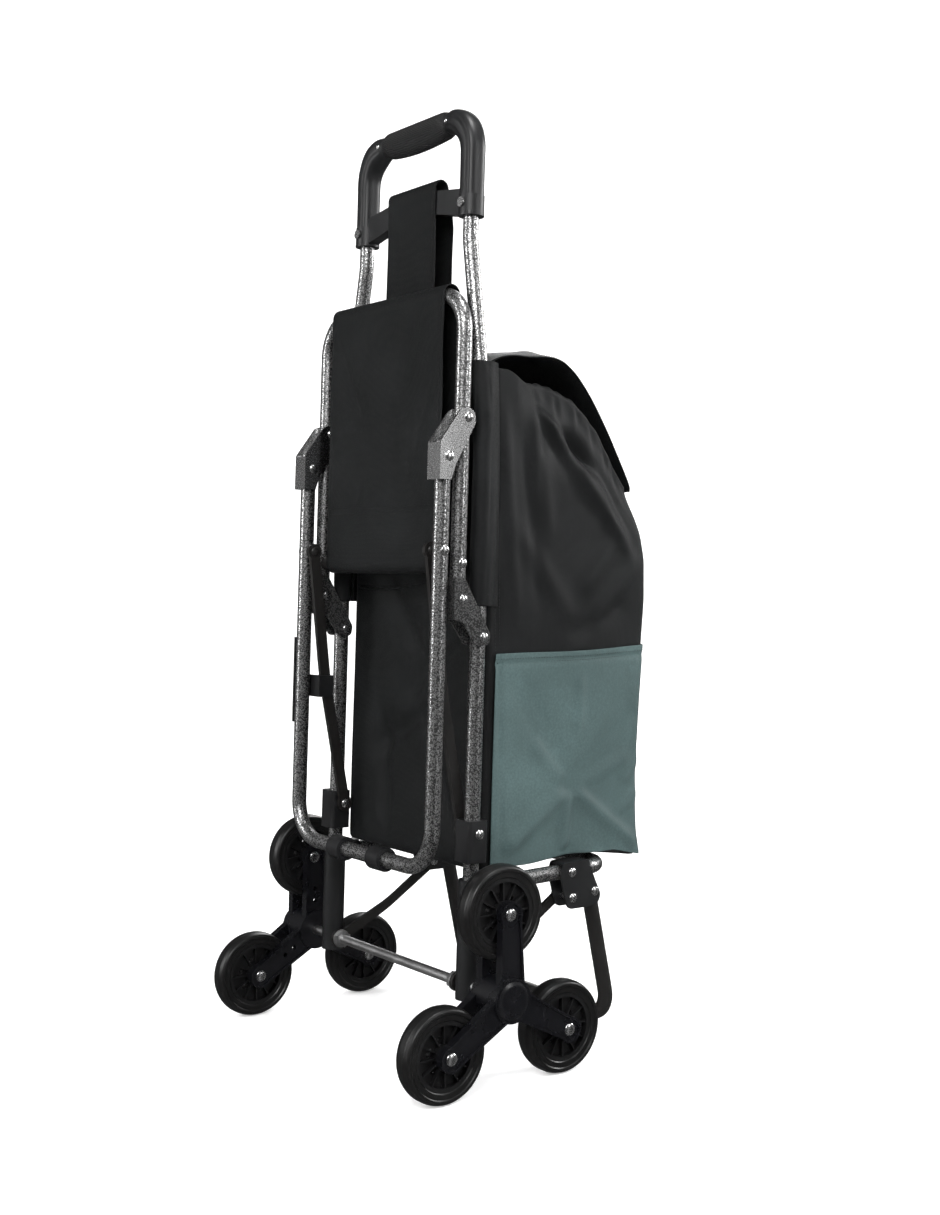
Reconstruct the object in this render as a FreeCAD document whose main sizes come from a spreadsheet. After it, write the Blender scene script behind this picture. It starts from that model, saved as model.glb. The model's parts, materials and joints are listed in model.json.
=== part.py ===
import FreeCAD, Part
import math
import os
import Sketcher

# Folding shopping trolley with a seat and two stair-climbing wheel clusters.
#
# X runs across the trolley, +Y towards the bag and +Z up. The origin is on the ground, in the
# middle of the trolley's footprint. The uprights lean by lean_angle towards the bag, and what is
# fixed to them is drawn in a leaning frame: x across, n away from the uprights towards the bag,
# and s up along them from the axle.

SIZES = {
    # overall
    "upright_gauge": 256.0,        # between the centre lines of the two uprights
    "lean_angle": 3.0,             # degrees
    "handle_height": 892.5,        # top of the grip, along the uprights from the axle
    "bag_front": 252.5,            # from the axle
    # steel tube
    "tube_radius": 8.0,
    "tube_wall": 1.2,
    "fit_gap": 0.15,               # radial gap of a fixed tube in its socket
    "running_gap": 0.05,           # radial gap of a pin or shaft that turns
    "clear_gap": 0.5,              # gap between pieces that pass each other
    # uprights and what joins them
    "upright_foot": 16.0,
    "splay_length": 180.0,
    "splay_gap": 23.0,             # straight stretch between the splay and the handle
    "splay_bend": 90.0,
    "handle_gauge": 193.0,
    "leg_sleeve_top": 106.0,
    "leg_sleeve_bottom": -14.0,
    "leg_sleeve_wall": 4.0,
    "collar_bottom": 124.0,
    "collar_top": 166.0,
    "collar_wall": 5.0,
    "collar_round": 4.0,
    "collar_flat": 2.0,
    "stub_wall": 3.0,
    # handle
    "handle_length": 117.5,
    "handle_wall": 3.0,
    "handle_bend": 36.0,
    "handle_socket": 66.0,
    "grip_half": 57.0,
    "grip_wall": 3.0,
    "grip_taper": 8.0,
    "grip_end_drop": 1.6,
    "ring_wall": 2.2,              # rings of the crossbar round the handle's legs
    "ring_height": 21.0,
    "screw_height": 13.0,
    "screw_head": 1.6,
    "crossbar_thick": 13.0,
    "crossbar_depth": 22.0,
    "crossbar_rise": 20.0,
    "crossbar_flare": 6.0,
    # axle and clusters
    "wheel_radius": 46.7,
    "wheel_spacing": 145.4,        # between wheel centres, all three pairs
    "wheel_half": 10.5,
    "tread_round": 7.0,
    "tyre_bead": 6.0,
    "tyre_step": 1.0,
    "cluster_offset": 54.5,        # from the upright to the middle of its cluster
    "spider_gap": 0.5,
    "spider_thick": 9.0,
    "spider_recess": 2.2,
    "spider_rim": 2.4,
    "spider_hole": 2.6,
    "spider_hub": 22.0,
    "spider_arm_root": 15.0,
    "spider_arm_end": 11.5,
    "spider_boss": 13.0,
    "axle_radius": 5.0,
    "washer_thick": 1.6,
    "nut_thick": 6.0,
    "wheel_bolt_radius": 4.0,
    "rim_radius": 34.0,
    "rim_hub": 11.5,
    "rim_web_half": 2.5,
    "rim_ring": 4.0,
    "rim_hole": 2.6,
    "rim_hole_out": 5.5,
    "rim_rib": 1.6,
    "rim_ribs": 12.0,
    "cap_radius": 19.0,
    "cap_height": 6.0,
    "cap_seat": 4.0,
    # rack, its support leg and braces; each rise is measured from the axle
    "rack_rise": 97.3,
    "saddle_cover": 3.0,
    "saddle_reach": 16.0,
    "saddle_eye": 8.0,
    "rack_depth": 187.0,
    "rack_bend": 28.0,
    "rack_socket": 16.0,
    "support_bolt_depth": 161.6,
    "support_bolt_rise": 73.3,
    "support_angle": 11.2,         # degrees
    "support_bar_height": 18.0,
    "support_bend": 34.0,
    "support_top": 10.0,
    "brace_thick": 4.0,
    "brace_bow": 150.0,
    "support_foot_half": 13.0,
    "support_foot_top": 7.0,
    "support_foot_spread": 61.0,
    "brace_width": 10.0,
    "brace_bolt_depth": 131.0,
    "brace_bolt_rise": 70.3,
    "rack_bolt_depth": 130.6,
    # folding seat: heights along the uprights from the axle
    "seat_gap": 11.0,              # between the upright and the folded seat's tube
    "seat_front": 692.0,
    "seat_bend": 40.0,
    "seat_tail": 373.0,
    "rear_bar_height": 422.0,
    "rear_bar_radius": 7.5,
    "seat_pivot_height": 349.0,
    "seat_rivet_height": 386.0,
    "fabric_inset": 22.0,
    "fabric_ply": 2.0,
    "fabric_gap": 0.5,
    # folding legs
    "leg_gap": 6.0,                # between the folded seat's tube and the leg's
    "leg_top": 541.0,
    "leg_bar_height": 117.0,
    "leg_bend": 42.0,
    "leg_pivot_height": 566.0,
    "leg_rivet_height": 526.0,
    "foot_x": 38.0,
    "foot_half": 11.0,
    "foot_wall": 4.5,
    # links
    "link_gap": 8.5,               # from the tube's inner side to the middle of the link
    "link_thick": 5.0,
    "link_width": 12.0,
    "link_eye": 8.5,
    "link_top_height": 434.0,
    "link_bottom_height": 152.6,
    "link_bow": 6.0,
    "link_bend": 500.0,
    "clip_high": 194.6,            # rivets of the fold clip, below the leg's upper rivet
    "clip_low": 275.2,
    "clip_wall": 2.0,
    # brackets and fasteners
    "ear_thick": 2.5,
    "ear_gap": 0.35,
    "rivet_radius": 3.0,
    "rivet_head": 5.0,
    "rivet_dome": 2.4,
    # bag
    "bag_inset": 4.0,
    "bag_back_gap": 3.0,
    "bag_bottom_rise": 110.3,
    "bag_foot_back": 16.5,         # each back is measured from the bag's front
    "bag_rest_back": 52.5,         # where the bottom leaves the rack and sags
    "bag_sag": 12.0,
    "bag_wall": 2.5,
    "bag_round": 20.0,
    "bag_belly_rise": 389.3,
    "bag_shoulder_rise": 429.3,
    "bag_brow_back": 86.5,
    "bag_brow_rise": 581.3,
    "bag_mouth_rise": 615.3,
    "band_top_rise": 329.3,
    "band_wall": 1.6,
    "band_gap": 0.4,
    "board_thick": 3.0,
    "board_gap": 1.5,
    "sleeve_bottom": 381.0,
    "sleeve_top": 566.0,
    "sleeve_wall": 1.6,
    "flap_inset": 12.0,
    "flap_thick": 2.5,
    "flap_lift": 4.0,
    "strap_half": 44.0,
    "strap_thick": 1.8,
    "strap_foot": 640.0,
}

WHEEL_ANGLES = {"top": 90.0, "rear": 210.0, "front": 330.0}
SIDES = {"left": -1, "right": 1}


class Size:
    """A length that carries both its number and the sheet expression that gives it."""

    def __init__(self, number, text=None):
        self.number = float(number)
        self.text = text

    def written(self):
        return self.text if self.text is not None else repr(self.number)

    def joined(self, other, sign, number):
        if self.text is None and other.text is None:
            return Size(number)
        return Size(number, f"({self.written()} {sign} {other.written()})")

    def __add__(self, other):
        other = as_size(other)
        if other.text is None and other.number == 0:
            return self
        if self.text is None and self.number == 0:
            return other
        return self.joined(other, "+", self.number + other.number)

    def __sub__(self, other):
        other = as_size(other)
        if other.text is None and other.number == 0:
            return self
        return self.joined(other, "-", self.number - other.number)

    def __mul__(self, other):
        other = as_size(other)
        for one, two in ((self, other), (other, self)):
            if one.text is None and one.number == 0:
                return Size(0)
            if one.text is None and one.number == 1:
                return two
        return self.joined(other, "*", self.number * other.number)

    def __truediv__(self, other):
        other = as_size(other)
        if self.text is None and self.number == 0:
            return Size(0)
        return self.joined(other, "/", self.number / other.number)

    def __neg__(self):
        return Size(0).joined(self, "-", -self.number)

    def __radd__(self, other):
        return as_size(other) + self

    def __rsub__(self, other):
        return as_size(other) - self

    def __rmul__(self, other):
        return as_size(other) * self

    def root(self):
        if self.text is None:
            return Size(math.sqrt(self.number))
        return Size(math.sqrt(self.number), f"sqrt({self.text})")


def as_size(thing):
    return thing if isinstance(thing, Size) else Size(thing)


def sine(angle):
    return Size(math.sin(math.radians(angle.number)), f"sin({angle.written()})")


def cosine(angle):
    return Size(math.cos(math.radians(angle.number)), f"cos({angle.written()})")


os.makedirs("parts", exist_ok=True)
doc = FreeCAD.newDocument("shopping_trolley")
sheet = doc.addObject("Spreadsheet::Sheet", "sizes")
for row, (alias, number) in enumerate(SIZES.items(), start=1):
    sheet.set(f"A{row}", alias)
    sheet.set(f"B{row}", str(number))
    sheet.setAlias(f"B{row}", alias)
doc.recompute()


class Sheet:
    """Reads a named cell of the sheet as a Size."""

    def __getattr__(self, alias):
        return Size(sheet.get(alias), f"sizes.{alias}")


size = Sheet()
nodes = []


# ---------------------------------------------------------------- shared places

lean = size.lean_angle
half_gauge = size.upright_gauge * 0.5
arm_reach = size.wheel_spacing / Size(3).root()
axle_height = size.wheel_radius + arm_reach * 0.5
rear_reach = size.wheel_spacing * 0.5 + size.wheel_radius
axle_depth = (rear_reach - size.bag_front) * 0.5
channel_half = size.tube_radius + size.ear_gap
ear_half = channel_half + size.ear_thick
cluster_x = half_gauge + size.cluster_offset
spider_face = size.wheel_half + size.spider_gap
spider_back = spider_face + size.spider_thick
tube_bore = size.tube_radius - size.tube_wall
handle_bottom = size.handle_height - size.handle_length
leg_sleeve_radius = size.tube_radius + size.leg_sleeve_wall
collar_half = size.tube_radius + size.collar_wall
handle_radius = size.tube_radius + size.handle_wall
grip_radius = handle_radius + size.grip_wall
splay_end = handle_bottom - size.splay_gap
splay_start = splay_end - size.splay_length
seat_n = -(size.tube_radius * 2 + size.seat_gap)
leg_n = seat_n - size.tube_radius * 2 - size.leg_gap
link_x = half_gauge - size.tube_radius - size.link_gap
rack_height = axle_height + size.rack_rise
support_bolt_height = axle_height + size.support_bolt_rise
brace_bolt_height = axle_height + size.brace_bolt_rise
bag_half = half_gauge - size.bag_inset
bag_bottom = axle_height + size.bag_bottom_rise
bag_foot = size.bag_front - size.bag_foot_back
bag_rest = size.bag_front - size.bag_rest_back
bag_belly = axle_height + size.bag_belly_rise
bag_shoulder = axle_height + size.bag_shoulder_rise
bag_brow_depth = size.bag_front - size.bag_brow_back
bag_brow_height = axle_height + size.bag_brow_rise
bag_mouth = axle_height + size.bag_mouth_rise
band_top = axle_height + size.band_top_rise

LEAN = FreeCAD.Rotation(FreeCAD.Vector(1, 0, 0), -lean.number)
UPRIGHT = FreeCAD.Rotation()
ALONG_X = FreeCAD.Rotation(FreeCAD.Vector(0, 1, 0), 90)
ALONG_Y = FreeCAD.Rotation(FreeCAD.Vector(1, 0, 0), -90)


def leaning(x=0, n=0, s=0, turn=UPRIGHT):
    """Placement of a point of the leaning frame."""
    point = FreeCAD.Vector(float(as_size(x).number), as_size(n).number, as_size(s).number)
    hub = FreeCAD.Vector(0, axle_depth.number, axle_height.number)
    return FreeCAD.Placement(hub + LEAN.multVec(point), LEAN.multiply(turn))


def level(x=0, depth=0, height=0, turn=UPRIGHT):
    """Placement in the trolley's own frame; depth is measured from the axle, height from the ground."""
    at = FreeCAD.Vector(as_size(x).number, (axle_depth + depth).number, as_size(height).number)
    return FreeCAD.Placement(at, turn)


# ---------------------------------------------------------------- drawing helpers

def bind(thing, name, amount):
    """Set a property and tie it to the sheet."""
    amount = as_size(amount)
    setattr(thing, name, amount.number)
    if amount.text is not None:
        thing.setExpression(name, amount.text)


def new_body(label):
    body = doc.addObject("PartDesign::Body", label)
    body.Label = label
    return body


def new_sketch(body, role, offset=0):
    """Sketch on one of the body's own origin planes, moved off it by offset."""
    sketch = body.newObject("Sketcher::SketchObject", f"{body.Name}_sketch")
    plane = next(f for f in body.Origin.OriginFeatures if f.Role == role)
    sketch.AttachmentSupport = [(plane, "")]
    sketch.MapMode = "FlatFace"
    offset = as_size(offset)
    if offset.text is not None or offset.number != 0:
        sketch.AttachmentOffset = FreeCAD.Placement(
            FreeCAD.Vector(0, 0, offset.number), FreeCAD.Rotation())
        if offset.text is not None:
            sketch.setExpression("AttachmentOffset.Base.z", offset.text)
    return sketch


def dimension(sketch, kind, place, amount):
    """One driving dimension, tied to the sheet."""
    amount = as_size(amount)
    index = sketch.addConstraint(Sketcher.Constraint(kind, *place, amount.number))
    if amount.text is not None:
        sketch.setExpression(f"Constraints[{index}]", amount.text)


def pin_point(sketch, line, end, point):
    dimension(sketch, "DistanceX", (-1, 1, line, end), point[0])
    dimension(sketch, "DistanceY", (-1, 1, line, end), point[1])


def corner_cut(before, corner, after, radius):
    """Tangent points of an arc of the given radius at a corner, and the arc's middle."""
    to_start = [before[i] - corner[i] for i in (0, 1)]
    to_end = [after[i] - corner[i] for i in (0, 1)]
    units = []
    for way in (to_start, to_end):
        if way[0].number == 0 and way[0].text is None:
            length = way[1] if way[1].number > 0 else -way[1]
        elif way[1].number == 0 and way[1].text is None:
            length = way[0] if way[0].number > 0 else -way[0]
        else:
            length = (way[0] * way[0] + way[1] * way[1]).root()
        units.append([way[0] / length, way[1] / length])
    cosine_between = units[0][0] * units[1][0] + units[0][1] * units[1][1]
    sine_between = units[0][0] * units[1][1] - units[0][1] * units[1][0]
    if sine_between.number < 0:
        sine_between = -sine_between
    reach = radius * (1 + cosine_between) / sine_between
    start = [corner[i] + units[0][i] * reach for i in (0, 1)]
    end = [corner[i] + units[1][i] * reach for i in (0, 1)]
    inward = [units[0][i].number + units[1][i].number for i in (0, 1)]
    span = math.hypot(*inward)
    from_corner = math.hypot(radius.number, reach.number) - radius.number
    middle = [corner[i].number + inward[i] / span * from_corner for i in (0, 1)]
    return start, middle, end


def vector(point):
    return FreeCAD.Vector(as_size(point[0]).number, as_size(point[1]).number, 0)


def draw(sketch, corners, radii=None, closed=True):
    """Straight runs through the corners, each corner rounded by its radius if it has one."""
    corners = [[as_size(x), as_size(y)] for x, y in corners]
    radii = radii or {}
    count = len(corners)
    cuts = {}
    for index, radius in radii.items():
        before = corners[index - 1]
        after = corners[(index + 1) % count]
        cuts[index] = corner_cut(before, corners[index], after, as_size(radius))
    runs = count if closed else count - 1
    lines = []
    for index in range(runs):
        following = (index + 1) % count
        start = cuts[index][2] if index in cuts else corners[index]
        end = cuts[following][0] if following in cuts else corners[following]
        line = sketch.addGeometry(Part.LineSegment(vector(start), vector(end)), False)
        lines.append(line)
        pin_point(sketch, line, 1, start)
        if following in cuts or (not closed and index == runs - 1):
            pin_point(sketch, line, 2, end)
    for index in range(count):
        if not closed and index in (0, count - 1):
            continue
        incoming = lines[index - 1]
        outgoing = lines[index]
        if index not in cuts:
            sketch.addConstraint(Sketcher.Constraint("Coincident", incoming, 2, outgoing, 1))
            continue
        start, middle, end = cuts[index]
        bend = Part.Arc(vector(start), FreeCAD.Vector(*middle, 0), vector(end))
        arc = sketch.addGeometry(bend, False)
        turn = ((corners[index][0].number - start[0].number)
                * (end[1].number - corners[index][1].number)
                - (corners[index][1].number - start[1].number)
                * (end[0].number - corners[index][0].number))
        first, last = (1, 2) if turn > 0 else (2, 1)
        sketch.addConstraint(Sketcher.Constraint("Coincident", incoming, 2, arc, first))
        sketch.addConstraint(Sketcher.Constraint("Coincident", arc, last, outgoing, 1))
        dimension(sketch, "Radius", (arc,), radii[index])


def circle(sketch, x, y, radius):
    x, y, radius = as_size(x), as_size(y), as_size(radius)
    shape = Part.Circle(FreeCAD.Vector(x.number, y.number, 0), FreeCAD.Vector(0, 0, 1), radius.number)
    index = sketch.addGeometry(shape, False)
    pin_point(sketch, index, 3, (x, y))
    dimension(sketch, "Radius", (index,), radius)


def pad(body, sketch, length, midplane=False, reverse=False):
    feature = body.newObject("PartDesign::Pad", f"{body.Name}_pad")
    feature.Profile = sketch
    bind(feature, "Length", length)
    feature.SideType = "Symmetric" if midplane else "One side"
    feature.Reversed = reverse
    return feature


def pocket(body, sketch, length, midplane=False, reverse=False):
    """Cut that must take material away."""
    doc.recompute()
    before = body.Shape.Volume
    feature = body.newObject("PartDesign::Pocket", f"{body.Name}_pocket")
    feature.Profile = sketch
    bind(feature, "Length", length)
    feature.SideType = "Symmetric" if midplane else "One side"
    feature.Reversed = reverse
    doc.recompute()
    if body.Shape.Volume >= before - 1e-6:
        raise ValueError(f"{feature.Name} takes nothing away")
    return feature


def revolve(body, sketch, axis="V_Axis"):
    feature = body.newObject("PartDesign::Revolution", f"{body.Name}_turn")
    feature.Profile = sketch
    feature.ReferenceAxis = (sketch, [axis])
    feature.Angle = 360
    return feature


def bent_tube(label, path, bend, radius, bore, place, hollow=True):
    """Tube along a path in the body's XZ plane, which starts along that plane's vertical."""
    body = new_body(label)
    spine = new_sketch(body, "XZ_Plane")
    rounded = {index: bend for index in range(1, len(path) - 1)}
    draw(spine, path, rounded, closed=False)
    section = new_sketch(body, "XY_Plane", path[0][1])
    circle(section, path[0][0], 0, radius)
    if hollow:
        circle(section, path[0][0], 0, bore)
    pipe = body.newObject("PartDesign::AdditivePipe", f"{label}_pipe")
    pipe.Profile = section
    pipe.Spine = spine
    body.Placement = place
    return body


def cylinder(x, y, z, radius, length, turn=UPRIGHT):
    """Plain cylinder that starts at the point and runs along the turned Z."""
    piece = doc.addObject("Part::Cylinder", "cylinder")
    bind(piece, "Radius", radius)
    bind(piece, "Height", length)
    at = FreeCAD.Vector(as_size(x).number, as_size(y).number, as_size(z).number)
    piece.Placement = FreeCAD.Placement(at, turn)
    return piece


def box(low, high):
    piece = doc.addObject("Part::Box", "box")
    low = [as_size(v) for v in low]
    high = [as_size(v) for v in high]
    for name, start, end in zip(("Length", "Width", "Height"), low, high):
        bind(piece, name, end - start)
    piece.Placement.Base = FreeCAD.Vector(*[v.number for v in low])
    return piece


def cut(label, base, tools, place=None):
    """Base less its tools, all drawn in the same frame, then put in place."""
    tool = tools[0]
    if len(tools) > 1:
        tool = doc.addObject("Part::Compound", f"{label}_tools")
        tool.Links = tools
    result = doc.addObject("Part::Cut", label)
    result.Label = label
    result.Base = base
    result.Tool = tool
    if place is not None:
        result.Placement = place
    return result


def fuse(label, pieces, place=None):
    result = doc.addObject("Part::MultiFuse", label)
    result.Label = label
    result.Shapes = pieces
    result.Refine = True
    if place is not None:
        result.Placement = place
    return result


def group(label, pieces, place=None):
    """Separate solids kept together as one node."""
    result = doc.addObject("Part::Compound", label)
    result.Label = label
    result.Links = pieces
    if place is not None:
        result.Placement = place
    return result


def keep(piece):
    nodes.append(piece)
    return piece


def cross_hole(x, n, s, radius, length):
    """Drill along X, centred on x."""
    return cylinder(as_size(x) - as_size(length) * 0.5, n, s, radius, length, ALONG_X)


def rivet(side, n, s, inner, outer, radius=None, head=None, blind=False):
    """Domed rivet along X between two faces, given as distances from the middle plane."""
    radius = radius or size.rivet_radius
    head = head or size.rivet_head
    inner, outer = as_size(inner), as_size(outer)
    low = inner if side > 0 else -outer
    high = outer if side > 0 else -inner
    shank = cylinder(low, n, s, radius, outer - inner, ALONG_X)
    domes = []
    ends = ((high, 1), (low, -1))
    if blind:
        ends = ends[:1] if side > 0 else ends[1:]
    for x, tip in ends:
        dome = doc.addObject("Part::Ellipsoid", "dome")
        bind(dome, "Radius1", size.rivet_dome)
        bind(dome, "Radius2", head)
        bind(dome, "Radius3", head)
        dome.Angle1 = 0
        at = FreeCAD.Vector(as_size(x).number, as_size(n).number, as_size(s).number)
        turn = FreeCAD.Rotation(FreeCAD.Vector(0, 1, 0), 90 * tip)
        dome.Placement = FreeCAD.Placement(at, turn)
        domes.append(dome)
    return fuse("rivet", [shank] + domes)


# ---------------------------------------------------------------- frame

collar_in = half_gauge - collar_half
collar_out = half_gauge + collar_half
ear_out = half_gauge + ear_half
ear_in = half_gauge - ear_half
tube_out = half_gauge + size.tube_radius
tube_in = half_gauge - size.tube_radius
rivet_hole = size.rivet_radius + size.running_gap
through = size.tube_radius * 4


def make_upright(name, side):
    bottom = size.upright_foot
    top = handle_bottom + size.handle_socket - size.clear_gap
    low_x = half_gauge * side
    high_x = size.handle_gauge * (0.5 * side)
    path = [(low_x, bottom), (low_x, splay_start), (high_x, splay_end), (high_x, top)]
    tube = bent_tube(f"upright_{name}_tube", path, size.splay_bend, size.tube_radius, tube_bore,
                     FreeCAD.Placement())
    heights = (size.link_bottom_height, size.seat_pivot_height)
    holes = [cross_hole(low_x, 0, height, rivet_hole, through) for height in heights]
    keep(cut(f"upright_{name}", tube, holes, leaning()))


def make_leg_sleeve(name, side):
    """Moulded sleeve at an upright's foot, bored for the tube, the axle and the rack's end."""
    label = f"leg_sleeve_{name}"
    body = new_body(f"{label}_blank")
    column = new_sketch(body, "XY_Plane", size.leg_sleeve_bottom)
    circle(column, 0, 0, leg_sleeve_radius)
    pad(body, column, size.leg_sleeve_top - size.leg_sleeve_bottom)
    bore = cylinder(0, 0, size.upright_foot - size.clear_gap, size.tube_radius + size.fit_gap,
                    size.leg_sleeve_top)
    axle_bore = cross_hole(0, 0, 0, size.axle_radius + size.running_gap, leg_sleeve_radius * 4)
    rack_s = (rack_height - axle_height) / cosine(lean)
    stub = cylinder(0, 0, rack_s, size.tube_radius + size.stub_wall,
                    size.rack_socket + leg_sleeve_radius, ALONG_Y)
    stub.Placement.Rotation = LEAN.inverted().multiply(ALONG_Y)
    socket = cylinder(0, 0, rack_s, size.tube_radius + size.fit_gap, size.bag_front, ALONG_Y)
    socket.Placement.Rotation = LEAN.inverted().multiply(ALONG_Y)
    start = leg_sleeve_radius - 2
    way = LEAN.inverted().multVec(FreeCAD.Vector(0, start.number, 0))
    socket.Placement.Base = socket.Placement.Base + way
    whole = fuse(f"{label}_whole", [body, stub])
    keep(cut(label, whole, [bore, axle_bore, socket], leaning(half_gauge * side)))


def make_collar(name, side):
    """Black clamp block round the upright, which carries the link's lower pivot."""
    label = f"upright_collar_{name}"
    body = new_body(f"{label}_blank")
    sketch = new_sketch(body, "XY_Plane", size.collar_bottom)
    half = collar_half
    front = half - size.collar_flat
    corners = [(-half, -half), (half, -half), (half, front), (-half, front)]
    draw(sketch, corners, {i: size.collar_round for i in range(4)})
    pad(body, sketch, size.collar_top - size.collar_bottom)
    bore = cylinder(0, 0, size.collar_bottom - 5, size.tube_radius + size.fit_gap,
                    size.collar_top - size.collar_bottom + 10)
    pin = cross_hole(0, 0, size.link_bottom_height, rivet_hole, collar_half * 4)
    keep(cut(label, body, [bore, pin], leaning(half_gauge * side)))


def make_handle():
    """Moulded U handle with a socket in each leg for the upright's top."""
    body = new_body("handle_blank")
    spine = new_sketch(body, "XZ_Plane")
    half = size.handle_gauge * 0.5
    top = size.handle_height - grip_radius - handle_bottom
    draw(spine, [(-half, 0), (-half, top), (half, top), (half, 0)],
         {1: size.handle_bend, 2: size.handle_bend}, closed=False)
    section = new_sketch(body, "XY_Plane")
    circle(section, -half, 0, handle_radius)
    pipe = body.newObject("PartDesign::AdditivePipe", "handle_pipe")
    pipe.Profile = section
    pipe.Spine = spine
    sockets = new_sketch(body, "XY_Plane")
    for side in (-1, 1):
        circle(sockets, half * side, 0, size.tube_radius + size.fit_gap)
    pocket(body, sockets, size.handle_socket, reverse=True)
    outer = handle_radius + size.ring_wall
    screw_holes = [cylinder(half * side, -outer, size.screw_height, size.rivet_radius + size.running_gap,
                            outer - size.tube_radius, ALONG_Y)
                   for side in (-1, 1)]
    keep(cut("handle", body, screw_holes, leaning(s=handle_bottom)))
    screws = []
    for side in (-1, 1):
        head = cylinder(half * side, -outer - size.screw_head, size.screw_height, size.rivet_head,
                        size.screw_head, ALONG_Y)
        shank = cylinder(half * side, -outer - size.screw_head, size.screw_height, size.rivet_radius,
                         outer + size.screw_head - size.tube_radius - size.fit_gap, ALONG_Y)
        screws.append(fuse("handle_screw", [head, shank]))
    keep(group("handle_screws", screws, leaning(s=handle_bottom)))


def make_grip():
    """Soft ribbed sleeve over the handle's top bar."""
    body = new_body("handle_grip")
    sketch = new_sketch(body, "XY_Plane")
    bore = handle_radius + size.fit_gap
    half = size.grip_half
    outer = grip_radius
    end = outer - size.grip_end_drop
    crown = half - size.grip_taper
    corners = [(bore, -half), (end, -half), (outer, -crown), (outer, crown), (end, half), (bore, half)]
    draw(sketch, corners)
    revolve(body, sketch)
    height = size.handle_height - grip_radius
    turn = FreeCAD.Rotation(FreeCAD.Vector(0, 0, 1), 90)
    body.Placement = leaning(s=height, turn=turn)
    keep(body)


def make_crossbar():
    """Arched bar with a ring round each leg of the handle; the bag's strap hangs over it."""
    body = new_body("crossbar_arch")
    sketch = new_sketch(body, "XZ_Plane")
    half = size.handle_gauge * 0.5
    rise = size.crossbar_rise
    depth = size.crossbar_depth
    flare = depth + size.crossbar_flare
    corners = [(-half, 0), (0, rise), (half, 0), (half, flare), (0, rise + depth), (-half, flare)]
    draw(sketch, corners, {1: half * 1.2, 4: half * 1.4})
    pad(body, sketch, size.crossbar_thick, midplane=True)
    outer = handle_radius + size.ring_wall
    rings = [cylinder(half * side, 0, 0, outer, size.ring_height) for side in (-1, 1)]
    whole = fuse("crossbar_whole", [body] + rings)
    bores = [cylinder(half * side, 0, -1, handle_radius + size.fit_gap, size.handle_length)
             for side in (-1, 1)]
    screw_holes = [cylinder(half * side, -outer, size.screw_height, size.rivet_radius + size.running_gap,
                            outer, ALONG_Y)
                   for side in (-1, 1)]
    keep(cut("handle_crossbar", whole, bores + screw_holes, leaning(s=handle_bottom)))


def make_frame_rivets():
    """Pivot pins and rivets that stay with the uprights."""
    pieces = []
    for side in SIDES.values():
        inner_link = link_x - size.link_thick * 0.5
        pieces.append(rivet(side, 0, size.link_bottom_height, inner_link, collar_out))
        pieces.append(rivet(side, 0, size.seat_pivot_height, ear_in, ear_out))
    keep(group("frame_rivets", pieces, leaning()))


# ---------------------------------------------------------------- axle, rack and support

def make_axle():
    half = cluster_x + spider_back - size.cap_seat - size.clear_gap
    rod = cylinder(-half, axle_depth, axle_height, size.axle_radius, half * 2, ALONG_X)
    rod.Label = "axle_rod"
    keep(rod)
    pieces = []
    nut_x = half_gauge - leg_sleeve_radius - size.clear_gap * 3 - size.brace_thick
    for side in SIDES.values():
        washer_x = nut_x - size.washer_thick if side > 0 else -nut_x
        washer = cylinder(washer_x, 0, 0, size.axle_radius * 2, size.washer_thick, ALONG_X)
        nut = doc.addObject("Part::Prism", "nut")
        nut.Polygon = 6
        bind(nut, "Circumradius", size.axle_radius + 4)
        bind(nut, "Height", size.nut_thick)
        start = nut_x - size.washer_thick - size.nut_thick if side > 0 else size.washer_thick - nut_x
        nut.Placement = FreeCAD.Placement(FreeCAD.Vector(start.number, 0, 0), ALONG_X)
        for name, piece in (("axle_washer", washer), ("axle_nut", nut)):
            hole = cross_hole(0, 0, 0, size.axle_radius, size.upright_gauge)
            pieces.append(cut(name, piece, [hole]))
    keep(group("axle_nuts", pieces, level(height=axle_height)))


def make_rack():
    """Horizontal U tube under the bag."""
    leaned = (rack_height - axle_height) * sine(lean) / cosine(lean)
    start = leg_sleeve_radius + 1 + leaned
    path = [(-half_gauge, -start), (-half_gauge, -size.rack_depth), (half_gauge, -size.rack_depth),
            (half_gauge, -start)]
    tube = bent_tube("rack_tube_blank", path, size.rack_bend, size.tube_radius, tube_bore,
                     FreeCAD.Placement())
    holes = [cross_hole(half_gauge * side, 0, -size.rack_bolt_depth, rivet_hole, through)
             for side in SIDES.values()]
    lying = FreeCAD.Rotation(FreeCAD.Vector(1, 0, 0), 90)
    keep(cut("rack_tube", tube, holes, level(height=rack_height, turn=lying)))


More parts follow.
